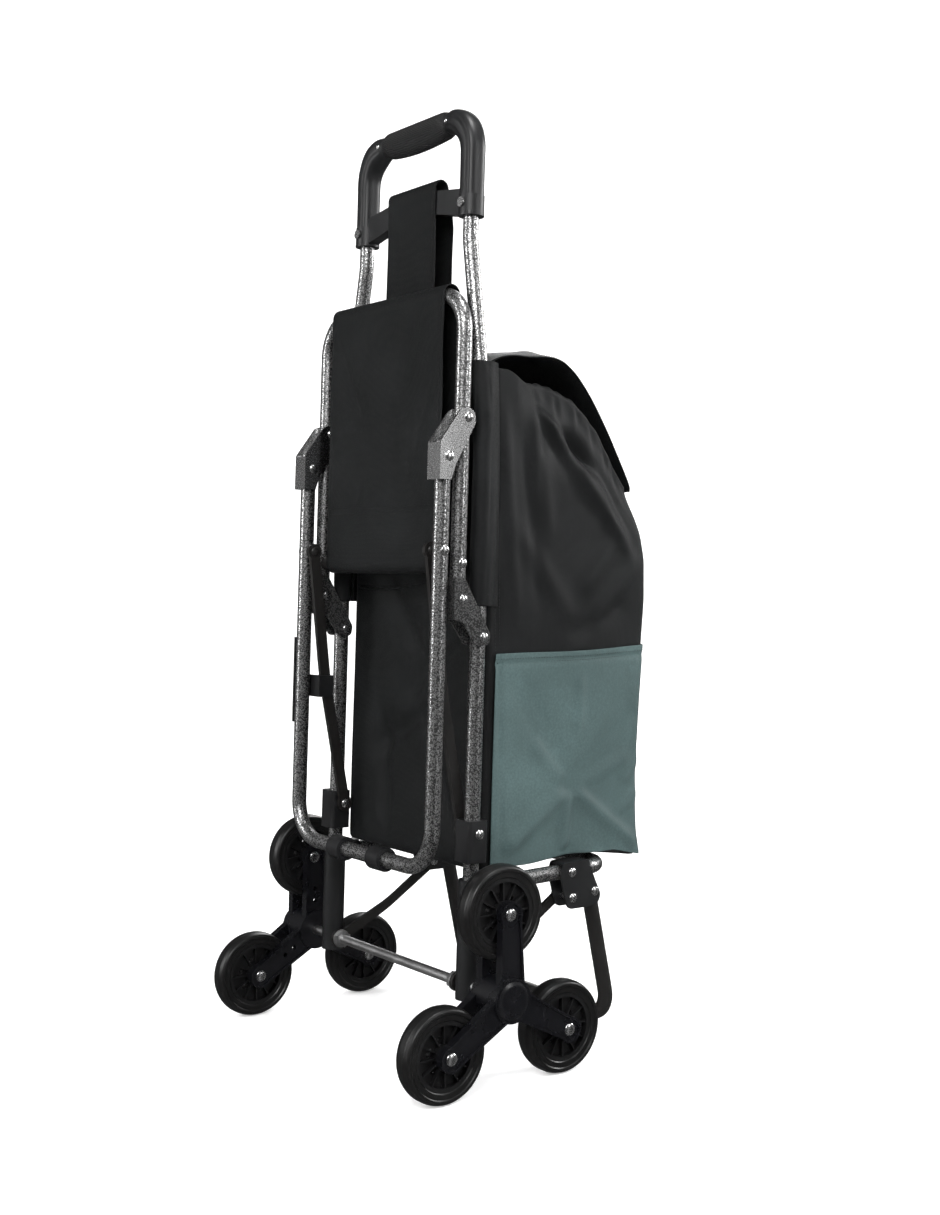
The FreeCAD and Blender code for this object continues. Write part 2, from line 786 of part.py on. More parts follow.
def make_rack_bracket(side):
    """Moulded saddle over the rack tube, with cheeks for the support leg and the brace."""
    body = new_body("rack_saddle")
    sketch = new_sketch(body, "YZ_Plane")
    top = rack_height + size.tube_radius + size.saddle_cover
    back = size.rack_bolt_depth - size.saddle_reach
    eye = size.saddle_eye
    corners = [(back, top - eye * 1.5), (back + eye * 0.5, top),
               (size.support_bolt_depth - eye, top), (size.support_bolt_depth - eye * 0.5, top - eye * 1.5),
               (size.support_bolt_depth + eye, support_bolt_height - eye * 0.5),
               (size.support_bolt_depth + eye * 0.6, support_bolt_height - eye * 1.6),
               (size.support_bolt_depth - eye * 1.2, support_bolt_height - eye * 1.9),
               (size.brace_bolt_depth - eye * 0.8, brace_bolt_height - eye * 1.4),
               (size.brace_bolt_depth - eye * 1.3, brace_bolt_height + eye * 0.3)]
    draw(sketch, corners, {0: 4, 1: 4, 2: 4, 4: 7, 5: 7, 7: 7, 8: 6})
    pad(body, sketch, ear_half * 2, midplane=True)
    channel = box((-channel_half, back - eye * 2, brace_bolt_height - eye * 4),
                  (channel_half, size.rack_depth, rack_height + size.tube_radius + size.ear_gap))
    bolts = ((size.rack_bolt_depth, rack_height),
             (size.support_bolt_depth, support_bolt_height),
             (size.brace_bolt_depth, brace_bolt_height))
    holes = [cross_hole(0, depth, height, rivet_hole, ear_half * 4) for depth, height in bolts]
    return cut("rack_bracket", body, [channel] + holes, level(half_gauge * side))


def make_support_leg():
    """Black U tube that stands on the ground in front of the wheels."""
    length = (support_bolt_height - size.support_bar_height) / cosine(size.support_angle)
    path = [(-half_gauge, size.support_top), (-half_gauge, -length), (half_gauge, -length),
            (half_gauge, size.support_top)]
    tube = bent_tube("support_leg_blank", path, size.support_bend, size.tube_radius, tube_bore,
                     FreeCAD.Placement())
    holes = [cross_hole(half_gauge * side, 0, 0, rivet_hole, through) for side in SIDES.values()]
    turn = FreeCAD.Rotation(FreeCAD.Vector(1, 0, 0), size.support_angle.number)
    place = level(0, size.support_bolt_depth, support_bolt_height, turn)
    keep(cut("support_leg", tube, holes, place))
    depth = size.support_bolt_depth + length * sine(size.support_angle)
    feet = []
    for side in SIDES.values():
        x = size.support_foot_spread * side
        across = size.support_foot_half
        block = box((x - size.foot_half, -across, -size.support_bar_height),
                    (x + size.foot_half, across, size.support_foot_top))
        bore = cross_hole(x, 0, 0, size.tube_radius + size.fit_gap, size.foot_half * 4)
        mouth = box((x - size.foot_half - 1, -size.tube_radius * 0.8, 0),
                    (x + size.foot_half + 1, size.tube_radius * 0.8, 20))
        feet.append(cut("support_foot", block, [bore, mouth]))
    keep(group("support_feet", feet, level(0, depth, size.support_bar_height)))


def make_brace(name, side):
    """Flat bar from the axle up to the rack's bracket."""
    label = f"brace_{name}"
    body = new_body(f"{label}_blank")
    sketch = new_sketch(body, "YZ_Plane")
    half = size.brace_width * 0.5
    end_y = size.brace_bolt_depth
    end_z = brace_bolt_height - axle_height
    corners = [(-4, half), (end_y * 0.5, end_z * 0.5 + half - 5), (end_y, end_z + half + 1),
               (end_y + 2, end_z - half), (end_y * 0.5, end_z * 0.5 - half - 6), (0, -half - 1)]
    draw(sketch, corners, {1: size.brace_bow, 4: size.brace_bow})
    pad(body, sketch, size.brace_thick, midplane=True)
    eyes = [cross_hole(0, y, z, radius, size.brace_thick)
            for y, z, radius in ((0, 0, size.axle_radius + 5), (end_y, end_z, size.brace_width * 0.75))]
    whole = fuse(f"{label}_whole", [body] + eyes)
    holes = [cross_hole(0, 0, 0, size.axle_radius + size.running_gap, 40),
             cross_hole(0, end_y, end_z, rivet_hole, 40)]
    x = half_gauge - leg_sleeve_radius - size.clear_gap - size.brace_thick * 0.5
    keep(cut(label, whole, holes, level(x * side, 0, axle_height)))


def make_rack_bolts():
    pieces = []
    brace_in = half_gauge - leg_sleeve_radius - size.clear_gap - size.brace_thick
    for side in SIDES.values():
        pieces.append(rivet(side, size.rack_bolt_depth, rack_height, ear_in, ear_out))
        pieces.append(rivet(side, size.support_bolt_depth, support_bolt_height, ear_in, ear_out))
        pieces.append(rivet(side, size.brace_bolt_depth, brace_bolt_height, brace_in, ear_out))
    keep(group("rack_bolts", pieces, level()))


# ---------------------------------------------------------------- seat

def make_seat_frame():
    path = [(-half_gauge, size.seat_tail), (-half_gauge, size.seat_front),
            (half_gauge, size.seat_front), (half_gauge, size.seat_tail)]
    tube = bent_tube("seat_frame_blank", path, size.seat_bend, size.tube_radius, tube_bore,
                     FreeCAD.Placement())
    heights = (size.seat_rivet_height, size.rear_bar_height, size.leg_pivot_height)
    holes = [cross_hole(half_gauge * side, 0, height, rivet_hole, through)
             for side in SIDES.values() for height in heights]
    keep(cut("seat_frame", tube, holes, leaning(n=seat_n)))


def make_seat_bracket(side):
    """Pressed channel on the seat tube's end; its two ears turn on the upright's pin."""
    body = new_body("seat_ear")
    sketch = new_sketch(body, "YZ_Plane")
    web = seat_n - size.tube_radius - size.ear_gap - size.ear_thick
    eye = 8.0
    seat_s = size.seat_rivet_height
    pivot_s = size.seat_pivot_height
    corners = [(web, seat_s - 20), (web, seat_s + 22), (seat_n + 1, seat_s + 22),
               (eye, pivot_s + 3), (eye - 2, pivot_s - eye), (-eye - 2, pivot_s - eye),
               (seat_n, seat_s - 22)]
    draw(sketch, corners, {1: 5, 2: 9, 3: 7, 4: 5, 5: 6, 6: 6})
    pad(body, sketch, ear_half * 2, midplane=True)
    channel = box((-channel_half, web + size.ear_thick, pivot_s - 60),
                  (channel_half, size.tube_radius * 4, seat_s + 60))
    holes = [cross_hole(0, 0, pivot_s, rivet_hole, 60), cross_hole(0, seat_n, seat_s, rivet_hole, 60)]
    return cut("seat_bracket", body, [channel] + holes, leaning(half_gauge * side))


def make_rear_bar():
    half = tube_in - size.clear_gap * 0.2
    bar = cylinder(-half, seat_n, size.rear_bar_height, size.rear_bar_radius, half * 2, ALONG_X)
    bore = cylinder(-half - 1, seat_n, size.rear_bar_height, rivet_hole, half * 2 + 2, ALONG_X)
    keep(cut("seat_rear_bar", bar, [bore], leaning()))


def make_seat_rivets():
    pieces = []
    for side in SIDES.values():
        pieces.append(rivet(side, seat_n, size.seat_rivet_height, ear_in, ear_out))
        pieces.append(rivet(side, seat_n, size.leg_pivot_height, ear_in, ear_out))
        pieces.append(rivet(side, seat_n, size.rear_bar_height, tube_in - 14, tube_out, blind=True))
    keep(group("seat_rivets", pieces, leaning()))


def make_seat_fabric():
    """Sling sewn round the seat's front tube and rear bar, as one flattened loop."""
    body = new_body("seat_fabric")
    sketch = new_sketch(body, "YZ_Plane")
    inner = size.tube_radius + size.fabric_gap
    outer = inner + size.fabric_ply
    for reach in (outer, inner):
        low = size.rear_bar_height - reach
        high = size.seat_front + reach
        corners = [(seat_n - reach, low), (seat_n + reach, low),
                   (seat_n + reach, high), (seat_n - reach, high)]
        draw(sketch, corners, {i: reach - 0.01 for i in range(4)})
    pad(body, sketch, (half_gauge - size.fabric_inset) * 2, midplane=True)
    body.Placement = leaning()
    keep(body)


# ---------------------------------------------------------------- folding legs and links

def make_leg_frame():
    path = [(-half_gauge, size.leg_top), (-half_gauge, size.leg_bar_height),
            (half_gauge, size.leg_bar_height), (half_gauge, size.leg_top)]
    tube = bent_tube("leg_frame_blank", path, size.leg_bend, size.tube_radius, tube_bore,
                     FreeCAD.Placement())
    holes = [cross_hole(half_gauge * side, 0, height, rivet_hole, through)
             for side in SIDES.values() for height in (size.leg_rivet_height, size.link_top_height)]
    holes += [cross_hole(-tube_out, 0, height, rivet_hole, size.tube_radius * 2)
              for height in clip_rivets()]
    keep(cut("leg_frame", tube, holes, leaning(n=leg_n)))


def make_leg_bracket(side):
    """Bright channel at the leg's top; its ears straddle the seat tube."""
    body = new_body("leg_ear")
    sketch = new_sketch(body, "YZ_Plane")
    web = leg_n - size.tube_radius - size.ear_gap - size.ear_thick
    eye = 8.5
    rivet_s = size.leg_rivet_height
    pivot_s = size.leg_pivot_height
    corners = [(web, rivet_s - 23), (leg_n + 3, rivet_s - 23), (leg_n + 8, rivet_s - 8),
               (seat_n + eye, pivot_s - 6), (seat_n + eye, pivot_s + eye),
               (seat_n - eye, pivot_s + eye), (web, rivet_s + 14)]
    draw(sketch, corners, {2: 10, 3: 6, 4: 8, 5: 8, 6: 5})
    pad(body, sketch, ear_half * 2, midplane=True)
    channel = box((-channel_half, web + size.ear_thick, rivet_s - 60),
                  (channel_half, 30, pivot_s + 60))
    notch = box((-channel_half, web - 5, rivet_s + 13), (channel_half, web + 10, pivot_s + 60))
    holes = [cross_hole(0, leg_n, rivet_s, rivet_hole, 60),
             cross_hole(0, seat_n, pivot_s, rivet_hole, 60)]
    return cut("leg_bracket", body, [channel, notch] + holes, leaning(half_gauge * side))


def clip_rivets():
    """Heights of the two rivets that hold the fold clip."""
    return (size.leg_rivet_height - size.clip_high, size.leg_rivet_height - size.clip_low)


def make_leg_rivets():
    pieces = []
    for side in SIDES.values():
        pieces.append(rivet(side, leg_n, size.leg_rivet_height, ear_in, ear_out))
        pieces.append(rivet(side, leg_n, size.link_top_height, tube_in - 0.3, tube_out, blind=True))
    strap_face = tube_out + size.ear_thick + size.ear_gap
    for height in clip_rivets():
        pieces.append(rivet(-1, leg_n, height, tube_out - 3.5, strap_face, blind=True))
    keep(group("leg_rivets", pieces, leaning()))


def make_leg_feet():
    """Two split clips on the leg's cross bar, which the open seat stands on."""
    feet = []
    wall = size.tube_radius + size.foot_wall
    for side in SIDES.values():
        x = size.foot_x * side
        ring = cross_hole(x, leg_n, size.leg_bar_height, wall, size.foot_half * 2)
        tab = box((x - size.foot_half, leg_n, size.leg_bar_height - 2),
                  (x + size.foot_half, leg_n + wall + 2, size.leg_bar_height + 2))
        bore = cross_hole(x, leg_n, size.leg_bar_height, size.tube_radius + size.fit_gap,
                          size.foot_half * 4)
        split = box((x - size.foot_half - 1, leg_n, size.leg_bar_height - 0.6),
                    (x + size.foot_half + 1, leg_n + wall * 2, size.leg_bar_height + 0.6))
        feet.append(cut("leg_foot", fuse("foot_blank", [ring, tab]), [bore, split]))
    keep(group("leg_feet", feet, leaning()))


def make_fold_clip():
    """Clip on the left leg that snaps over the link and keeps the seat folded."""
    high, low = clip_rivets()
    face = tube_out + size.ear_gap
    plate = face + size.ear_thick
    strap = box((-plate, leg_n - 6, low - 7), (-face, leg_n + 6, high + 7))
    wall = size.clip_wall
    back = leg_n + size.tube_radius + size.ear_gap
    mid = (high + low) * 0.5
    hook_low = mid - 18
    hook_high = mid + 6
    reach = size.link_thick * 0.5 + size.clear_gap * 2
    inner = link_x - reach
    outer = link_x + reach
    bridge = box((-plate, back, hook_low), (-inner + wall, back + wall, hook_high))
    side_wall = box((-plate, leg_n, hook_low), (-face, back + wall, hook_high))
    prongs = [box((-x, back, hook_low), (-x + wall, back + size.link_width + wall * 3, hook_high))
              for x in (inner, outer + wall)]
    block = fuse("clip_blank", [strap, side_wall, bridge] + prongs)
    holes = [cross_hole(-face, leg_n, height, rivet_hole, size.ear_thick * 4) for height in (high, low)]
    keep(cut("fold_clip", block, holes, leaning()))


def make_link(name, side):
    """Flat bar from the leg frame down to the upright's collar."""
    label = f"link_{name}"
    body = new_body(f"{label}_blank")
    sketch = new_sketch(body, "YZ_Plane")
    half = size.link_width * 0.5
    top = size.link_top_height
    bottom = size.link_bottom_height
    mid_n = leg_n * 0.5 - size.link_bow
    mid_s = (top + bottom) * 0.5
    corners = [(leg_n - half, top), (mid_n - half, mid_s), (-half, bottom), (half, bottom),
               (mid_n + half, mid_s), (leg_n + half, top)]
    draw(sketch, corners, {1: size.link_bend, 4: size.link_bend})
    pad(body, sketch, size.link_thick, midplane=True)
    eyes = [cross_hole(0, n, height, size.link_eye, size.link_thick)
            for n, height in ((0, bottom), (leg_n, top))]
    whole = fuse(f"{label}_whole", [body] + eyes)
    stud = rivet(side, leg_n, top, -size.link_thick * 0.5, size.link_thick * 0.5)
    fixed = fuse(f"{label}_stud", [whole, stud])
    hole = cross_hole(0, 0, bottom, rivet_hole, 40)
    keep(cut(label, fixed, [hole], leaning(link_x * side)))


# ---------------------------------------------------------------- clusters and wheels

def arm_recess(label, outward):
    """Shallow hollow in the three arms' faces, inside a raised rim and outside the hub."""
    body = new_body(f"{label}_recess_arms")
    start = (spider_back - size.spider_recess) * outward
    rim = size.spider_rim
    root, tip = size.spider_arm_root - rim, size.spider_arm_end - rim
    arm = new_sketch(body, "YZ_Plane", start)
    draw(arm, [(-root, 0), (root, 0), (tip, arm_reach), (-tip, arm_reach)])
    arm_pad = pad(body, arm, size.spider_thick, reverse=outward < 0)
    end = new_sketch(body, "YZ_Plane", start)
    circle(end, 0, arm_reach, size.spider_boss - rim)
    end_pad = pad(body, end, size.spider_thick, reverse=outward < 0)
    doc.recompute()
    turns = body.newObject("PartDesign::PolarPattern", f"{label}_recess_turns")
    turns.Originals = [arm_pad, end_pad]
    turns.Axis = (arm, ["N_Axis"])
    turns.Angle = 360
    turns.Occurrences = 3
    body.Tip = turns
    hub = cross_hole(0, 0, 0, size.spider_hub, cluster_x)
    return cut(f"{label}_recess", body, [hub])


def make_spider(name, side, face):
    """One half of a cluster: a hub and three arms on one side of the wheels."""
    label = f"{face}_spider_{name}"
    outward = side if face == "outer" else -side
    body = new_body(f"{label}_blank")
    start = spider_face * outward
    hub = new_sketch(body, "YZ_Plane")
    circle(hub, 0, 0, size.spider_hub)
    pad(body, hub, spider_back, reverse=outward < 0)
    arm = new_sketch(body, "YZ_Plane", start)
    root, tip = size.spider_arm_root, size.spider_arm_end
    draw(arm, [(-root, 0), (root, 0), (tip, arm_reach), (-tip, arm_reach)])
    arm_pad = pad(body, arm, size.spider_thick, reverse=outward < 0)
    boss = new_sketch(body, "YZ_Plane", start)
    circle(boss, 0, arm_reach, size.spider_boss)
    boss_pad = pad(body, boss, size.spider_thick, reverse=outward < 0)
    doc.recompute()
    turns = body.newObject("PartDesign::PolarPattern", f"{label}_turns")
    turns.Originals = [arm_pad, boss_pad]
    turns.Axis = (hub, ["N_Axis"])
    turns.Angle = 360
    turns.Occurrences = 3
    body.Tip = turns
    reach = cluster_x.number * 4
    tools = [cross_hole(0, 0, 0, size.axle_radius + size.running_gap, reach)]
    tools.append(arm_recess(label, outward))
    if face == "outer":
        seat = cross_hole(0, 0, 0, size.cap_radius + size.clear_gap, size.cap_seat)
        seat.Placement.Base.x = (spider_back - size.cap_seat).number if side > 0 else -spider_back.number
        tools.append(seat)
    for angle in WHEEL_ANGLES.values():
        y = arm_reach * math.cos(math.radians(angle))
        z = arm_reach * math.sin(math.radians(angle))
        tools.append(cross_hole(0, y, z, size.wheel_bolt_radius + size.running_gap, reach))
        if face == "inner":
            tools += [cross_hole(0, y * share, z * share, size.spider_hole, reach) for share in (0.4, 0.56)]
    keep(cut(label, body, tools, level(cluster_x * side, 0, axle_height)))


def make_hub_cap(name, side):
    body = new_body(f"hub_cap_{name}")
    sketch = new_sketch(body, "XZ_Plane")
    radius = size.cap_radius
    height = size.cap_height
    corners = [(0, 0), (radius, 0), (radius, size.cap_seat), (radius * 0.8, height * 0.92), (0, height)]
    draw(sketch, corners, {3: 8})
    revolve(body, sketch)
    turn = FreeCAD.Rotation(FreeCAD.Vector(0, 1, 0), 90 * side)
    x = cluster_x + spider_back - size.cap_seat + size.running_gap
    body.Placement = level(x * side, 0, axle_height, turn)
    keep(body)


def make_wheel_bolts(name, side):
    """Three bolts, each with a domed head outside and a nut inside."""
    pieces = []
    high = spider_back - size.spider_recess
    for angle in WHEEL_ANGLES.values():
        y = arm_reach * math.cos(math.radians(angle))
        z = arm_reach * math.sin(math.radians(angle))
        pieces.append(rivet(1, y, z, -high, high, size.wheel_bolt_radius, size.wheel_bolt_radius * 1.6))
    keep(group(f"wheel_bolts_{name}", pieces, level(cluster_x * side, 0, axle_height)))


def make_wheel(name, side, where):
    """Moulded wheel with a solid rubber tyre."""
    angle = math.radians(WHEEL_ANGLES[where])
    place = level(cluster_x * side, arm_reach * math.cos(angle),
                  axle_height + arm_reach * math.sin(angle), ALONG_X)
    tyre = new_body(f"tyre_{name}_{where}")
    sketch = new_sketch(tyre, "XZ_Plane")
    inner, outer, half = size.rim_radius, size.wheel_radius, size.wheel_half
    shoulder = outer - 2
    bead = inner + size.tyre_bead
    flank = half - size.tyre_step
    low = [(inner, -flank + 1), (inner + 1, -flank), (bead, -flank), (bead + 1, -half), (shoulder, -half),
           (outer, -half * 0.4)]
    corners = low + [(radius, -across) for radius, across in low[::-1]]
    rounds = {4: 3, 5: size.tread_round}
    rounds.update({11 - index: radius for index, radius in rounds.items()})
    draw(sketch, corners, rounds)
    revolve(tyre, sketch)
    tyre.Placement = place
    keep(tyre)
    label = f"rim_{name}_{where}"
    rim = new_body(f"{label}_blank")
    sketch = new_sketch(rim, "XZ_Plane")
    bore = size.wheel_bolt_radius + size.running_gap
    hub, web = size.rim_hub, size.rim_web_half
    ring = inner - size.rim_ring
    end = half - 2
    corners = [(bore, -half), (hub, -half), (hub, -web), (ring, -web), (ring, -end), (inner, -end),
               (inner, end), (ring, end), (ring, web), (hub, web), (hub, half), (bore, half)]
    draw(sketch, corners)
    revolve(rim, sketch)
    rib = new_sketch(rim, "XY_Plane")
    rib_half = size.rim_rib * 0.5
    draw(rib, [(hub - 1, -rib_half), (ring + 1, -rib_half), (ring + 1, rib_half), (hub - 1, rib_half)])
    rib_pad = pad(rim, rib, (end - size.rim_rib) * 2, midplane=True)
    doc.recompute()
    ribs = rim.newObject("PartDesign::PolarPattern", f"{label}_ribs")
    ribs.Originals = [rib_pad]
    ribs.Axis = (rib, ["N_Axis"])
    ribs.Angle = 360
    ribs.Occurrences = round(size.rim_ribs.number)
    rim.Tip = ribs
    out = hub + size.rim_hole_out
    holes = []
    for turn in range(6):
        around = math.radians(60 * turn + 15)
        holes.append(cylinder(out * math.cos(around), out * math.sin(around), -half, size.rim_hole,
                              half * 2))
    keep(cut(label, rim, holes, place))


# ---------------------------------------------------------------- bag

back_n = size.tube_radius + size.bag_back_gap


def back_depth(height, n=None):
    """Depth, from the axle, of a line n off the uprights at a height above the ground."""
    n = back_n if n is None else as_size(n)
    return (n + (as_size(height) - axle_height) * sine(lean)) / cosine(lean)


def bag_outline(inset):
    """Side view of the bag, drawn in by inset on every side but the mouth."""
    bottom = bag_bottom + inset
    return [(back_depth(bottom) + inset, bottom),
            (bag_rest, bottom),
            (bag_foot - inset, bottom - size.bag_sag),
            (size.bag_front - inset, bag_belly),
            (size.bag_front - inset, bag_shoulder),
            (bag_brow_depth - inset * 0.8, bag_brow_height - inset * 0.6),
            (back_depth(bag_mouth) + inset, bag_mouth)]


def make_bag():
    """Open-topped bag: the outer form less its hollow, which runs out through the mouth."""
    outer = new_body("bag_outer")
    sketch = new_sketch(outer, "YZ_Plane")
    draw(sketch, bag_outline(Size(0)), {1: 40, 2: size.bag_round, 4: 40, 5: 30})
    pad(outer, sketch, bag_half * 2, midplane=True)
    hollow = new_body("bag_hollow")
    sketch = new_sketch(hollow, "YZ_Plane")
    wall = size.bag_wall
    corners = bag_outline(wall)
    brow = corners[5]
    corners[5:] = [brow, (brow[0] - 20, bag_mouth + 40),
                   (back_depth(bag_mouth + 40) + wall, bag_mouth + 40)]
    draw(sketch, corners, {1: 40, 2: size.bag_round - wall, 4: 38})
    pad(hollow, sketch, (bag_half - wall) * 2, midplane=True)
    keep(cut("bag_body", outer, [hollow], level()))


def make_band():
    """Lower panel sewn round the bag's sides and front: an outer form less a taller inner one."""
    gap, wall = size.band_gap, size.band_wall
    lean_out = size.bag_foot_back / (bag_belly - bag_bottom + size.bag_sag)

    def form(label, reach, back, low, high):
        front = bag_foot + reach
        drop = low - size.bag_sag
        rise = high - bag_bottom + size.bag_sag
        corners = [(back_depth(low) + back, low), (bag_rest, low),
                   (front + lean_out * (drop - bag_bottom + size.bag_sag), drop),
                   (front + lean_out * rise, high), (back_depth(high) + back, high)]
        body = new_body(label)
        sketch = new_sketch(body, "YZ_Plane")
        draw(sketch, corners)
        pad(body, sketch, (bag_half + reach) * 2, midplane=True)
        return body

    outer = form("band_outer", gap + wall, 16, bag_bottom + 2, band_top)
    inner = form("band_inner", gap, -40, bag_bottom - 60, band_top + 40)
    keep(cut("bag_band", outer, [inner], level()))


def make_base_board():
    """Stiff board that lies inside on the bag's bottom."""
    gap = size.bag_wall + size.board_gap
    low = bag_bottom + size.bag_wall + 0.3
    start = back_depth(low) + gap
    board = box((-bag_half + gap, start, low),
                (bag_half - gap, bag_foot - size.bag_round, low + size.board_thick))
    board.Label = "bag_base_board"
    board.Placement.Base.y += axle_depth.number
    keep(board)


def make_sleeve(name, side):
    """Fabric sleeve round the upright, sewn to the bag's back corner."""
    inner = size.tube_radius + 0.8
    outer = inner + size.sleeve_wall
    length = size.sleeve_top - size.sleeve_bottom
    ring = cylinder(0, 0, size.sleeve_bottom, outer, length)
    bore = cylinder(0, 0, size.sleeve_bottom - 1, inner, length + 2)
    wall = cut(f"bag_sleeve_{name}", ring, [bore], leaning(half_gauge * side))
    keep(wall)


def make_strap():
    """Wide webbing loop that hangs the bag's back from the handle's crossbar."""
    body = new_body("bag_strap")
    sketch = new_sketch(body, "YZ_Plane")
    gap = size.clear_gap
    foot = size.strap_foot
    top = handle_bottom + size.crossbar_rise + size.crossbar_depth + size.crossbar_thick * 0.3
    inner = size.crossbar_thick * 0.5 + gap
    outer = inner + size.strap_thick
    crown = top + gap + size.strap_thick
    corners = [(-outer, foot), (-outer, crown), (outer, crown), (outer, foot), (inner, foot),
               (inner, top + gap), (-inner, top + gap), (-inner, foot)]
    draw(sketch, corners, {1: outer - 0.01, 2: outer - 0.01, 5: inner - 0.01, 6: inner - 0.01})
    pad(body, sketch, size.strap_half * 2, midplane=True)
    body.Placement = leaning()
    keep(body)


def make_flap():
    """Lid hinged along the bag's top back edge and hanging down over its front."""
    body = new_body("bag_flap")
    sketch = new_sketch(body, "YZ_Plane")
    lift, thick = size.flap_lift, size.flap_thick
    hinge = (back_depth(bag_mouth) + 4, bag_mouth + 8)
    lower = [hinge,
             (95, bag_mouth + 22 + lift),
             (bag_brow_depth - 10, bag_mouth + 22 + lift),
             (bag_brow_depth + 50, bag_brow_height - 10),
             (size.bag_front - 10, bag_shoulder + 82),
             (size.bag_front - 7, bag_shoulder + 56)]
    upper = [(x + thick * 0.6, z + thick * 0.9) for x, z in lower]
    bends = {1: 50, 2: 40, 3: 60, 4: 40}
    rounded = dict(bends)
    rounded.update({11 - index: radius + thick for index, radius in bends.items()})
    draw(sketch, lower + upper[::-1], rounded)
    pad(body, sketch, (bag_half - size.flap_inset) * 2, midplane=True)
    body.Placement = level()
    keep(body)


# ---------------------------------------------------------------- everything together

for side_name, side_sign in SIDES.items():
    make_upright(side_name, side_sign)
    make_leg_sleeve(side_name, side_sign)
    make_collar(side_name, side_sign)
    make_brace(side_name, side_sign)
    make_link(side_name, side_sign)
    make_sleeve(side_name, side_sign)
    make_spider(side_name, side_sign, "outer")
    make_spider(side_name, side_sign, "inner")
    make_hub_cap(side_name, side_sign)
    make_wheel_bolts(side_name, side_sign)
    for wheel_name in WHEEL_ANGLES:
        make_wheel(side_name, side_sign, wheel_name)
make_handle()
make_grip()
make_crossbar()
make_frame_rivets()
make_axle()
make_rack()
make_support_leg()
make_rack_bolts()
keep(group("rack_brackets", [make_rack_bracket(side) for side in SIDES.values()]))
make_seat_frame()
keep(group("seat_brackets", [make_seat_bracket(side) for side in SIDES.values()]))
make_rear_bar()
make_seat_rivets()
make_seat_fabric()
make_leg_frame()
keep(group("leg_brackets", [make_leg_bracket(side) for side in SIDES.values()]))
make_leg_rivets()
make_leg_feet()
make_fold_clip()
make_bag()
make_band()
make_base_board()
make_strap()
make_flap()
doc.recompute()

for thing in doc.Objects:
    if "Invalid" in thing.State or "Error" in thing.State:
        raise ValueError(f"{thing.Label} did not build: {thing.State}")
for node in nodes:
    if node.Shape.isNull() or not node.Shape.isValid() or not node.Shape.Solids:
        raise ValueError(f"{node.Label} is not a sound solid")
for node in nodes:
    node.Shape.exportStep(f"parts/{node.Label}.step")
print(len(nodes), "sub-parts")
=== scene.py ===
"""Looks of the folding shopping trolley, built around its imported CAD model.

Lengths are in metres, in the CAD's own frame: X across the trolley, +Y towards the bag, +Z up.
What is fixed to the leaning uprights is placed with lean(x, n, s): n is the distance from the
uprights towards the bag and s the distance up along them from the axle.
"""
import json
import math

import bmesh
import bpy
import numpy as np
from mathutils import Matrix, Vector


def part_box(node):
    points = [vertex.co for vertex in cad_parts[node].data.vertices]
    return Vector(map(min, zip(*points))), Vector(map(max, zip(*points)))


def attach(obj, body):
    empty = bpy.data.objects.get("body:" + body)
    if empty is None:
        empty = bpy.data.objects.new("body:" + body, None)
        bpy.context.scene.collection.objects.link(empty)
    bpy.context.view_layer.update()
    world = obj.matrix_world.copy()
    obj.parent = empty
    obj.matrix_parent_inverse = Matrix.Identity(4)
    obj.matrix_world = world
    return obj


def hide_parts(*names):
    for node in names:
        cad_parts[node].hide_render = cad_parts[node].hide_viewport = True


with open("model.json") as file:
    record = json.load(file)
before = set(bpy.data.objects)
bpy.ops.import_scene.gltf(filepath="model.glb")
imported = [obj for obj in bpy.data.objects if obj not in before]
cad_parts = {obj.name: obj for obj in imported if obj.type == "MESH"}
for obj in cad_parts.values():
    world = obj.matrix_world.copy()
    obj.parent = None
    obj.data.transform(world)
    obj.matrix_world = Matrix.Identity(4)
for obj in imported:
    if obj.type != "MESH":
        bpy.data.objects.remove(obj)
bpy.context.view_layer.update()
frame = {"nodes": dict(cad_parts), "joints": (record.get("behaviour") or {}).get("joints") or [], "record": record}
nodes = frame["nodes"]
scene = bpy.context.scene
MM = 0.001

# ---------------------------------------------------------------- places read from the frame

joints = {joint["name"]: joint for joint in frame["joints"]}
axle = Vector(joints["cluster_right_spin"]["pos_m"])
axle_y, axle_z = axle.y, axle.z
pivot = Vector(joints["seat_fold"]["pos_m"])
lean_angle = math.atan2(pivot.y - axle_y, pivot.z - axle_z)
LEAN_SIN, LEAN_COS = math.sin(lean_angle), math.cos(lean_angle)


def lean(x, n, s):
    """Point of the leaning frame, from millimetres to the row frame's metres."""
    n, s = n * MM, s * MM
    return Vector((x * MM, axle_y + n * LEAN_COS + s * LEAN_SIN, axle_z - n * LEAN_SIN + s * LEAN_COS))


def level(x, depth, height):
    """Point from millimetres: depth from the axle, height from the ground."""
    return Vector((x * MM, axle_y + depth * MM, height * MM))


# ---------------------------------------------------------------- materials

def node_material(name):
    material = bpy.data.materials.new(name)
    material.use_nodes = True
    tree = material.node_tree
    shader = tree.nodes["Principled BSDF"]
    return material, tree, shader


def add(tree, kind, **values):
    """A node with its settings; a name that is an input socket sets that socket."""
    node = tree.nodes.new(kind)
    for key, value in values.items():
        if hasattr(node, key):
            setattr(node, key, value)
        else:
            node.inputs[key.replace("_", " ")].default_value = value
    return node


def object_coords(tree):
    return add(tree, "ShaderNodeTexCoord").outputs["Object"]


def noise(tree, coords, scale, detail=3.0, roughness=0.55):
    node = add(tree, "ShaderNodeTexNoise")
    node.inputs["Scale"].default_value = scale
    node.inputs["Detail"].default_value = detail
    node.inputs["Roughness"].default_value = roughness
    tree.links.new(coords, node.inputs["Vector"])
    return node.outputs["Fac"]


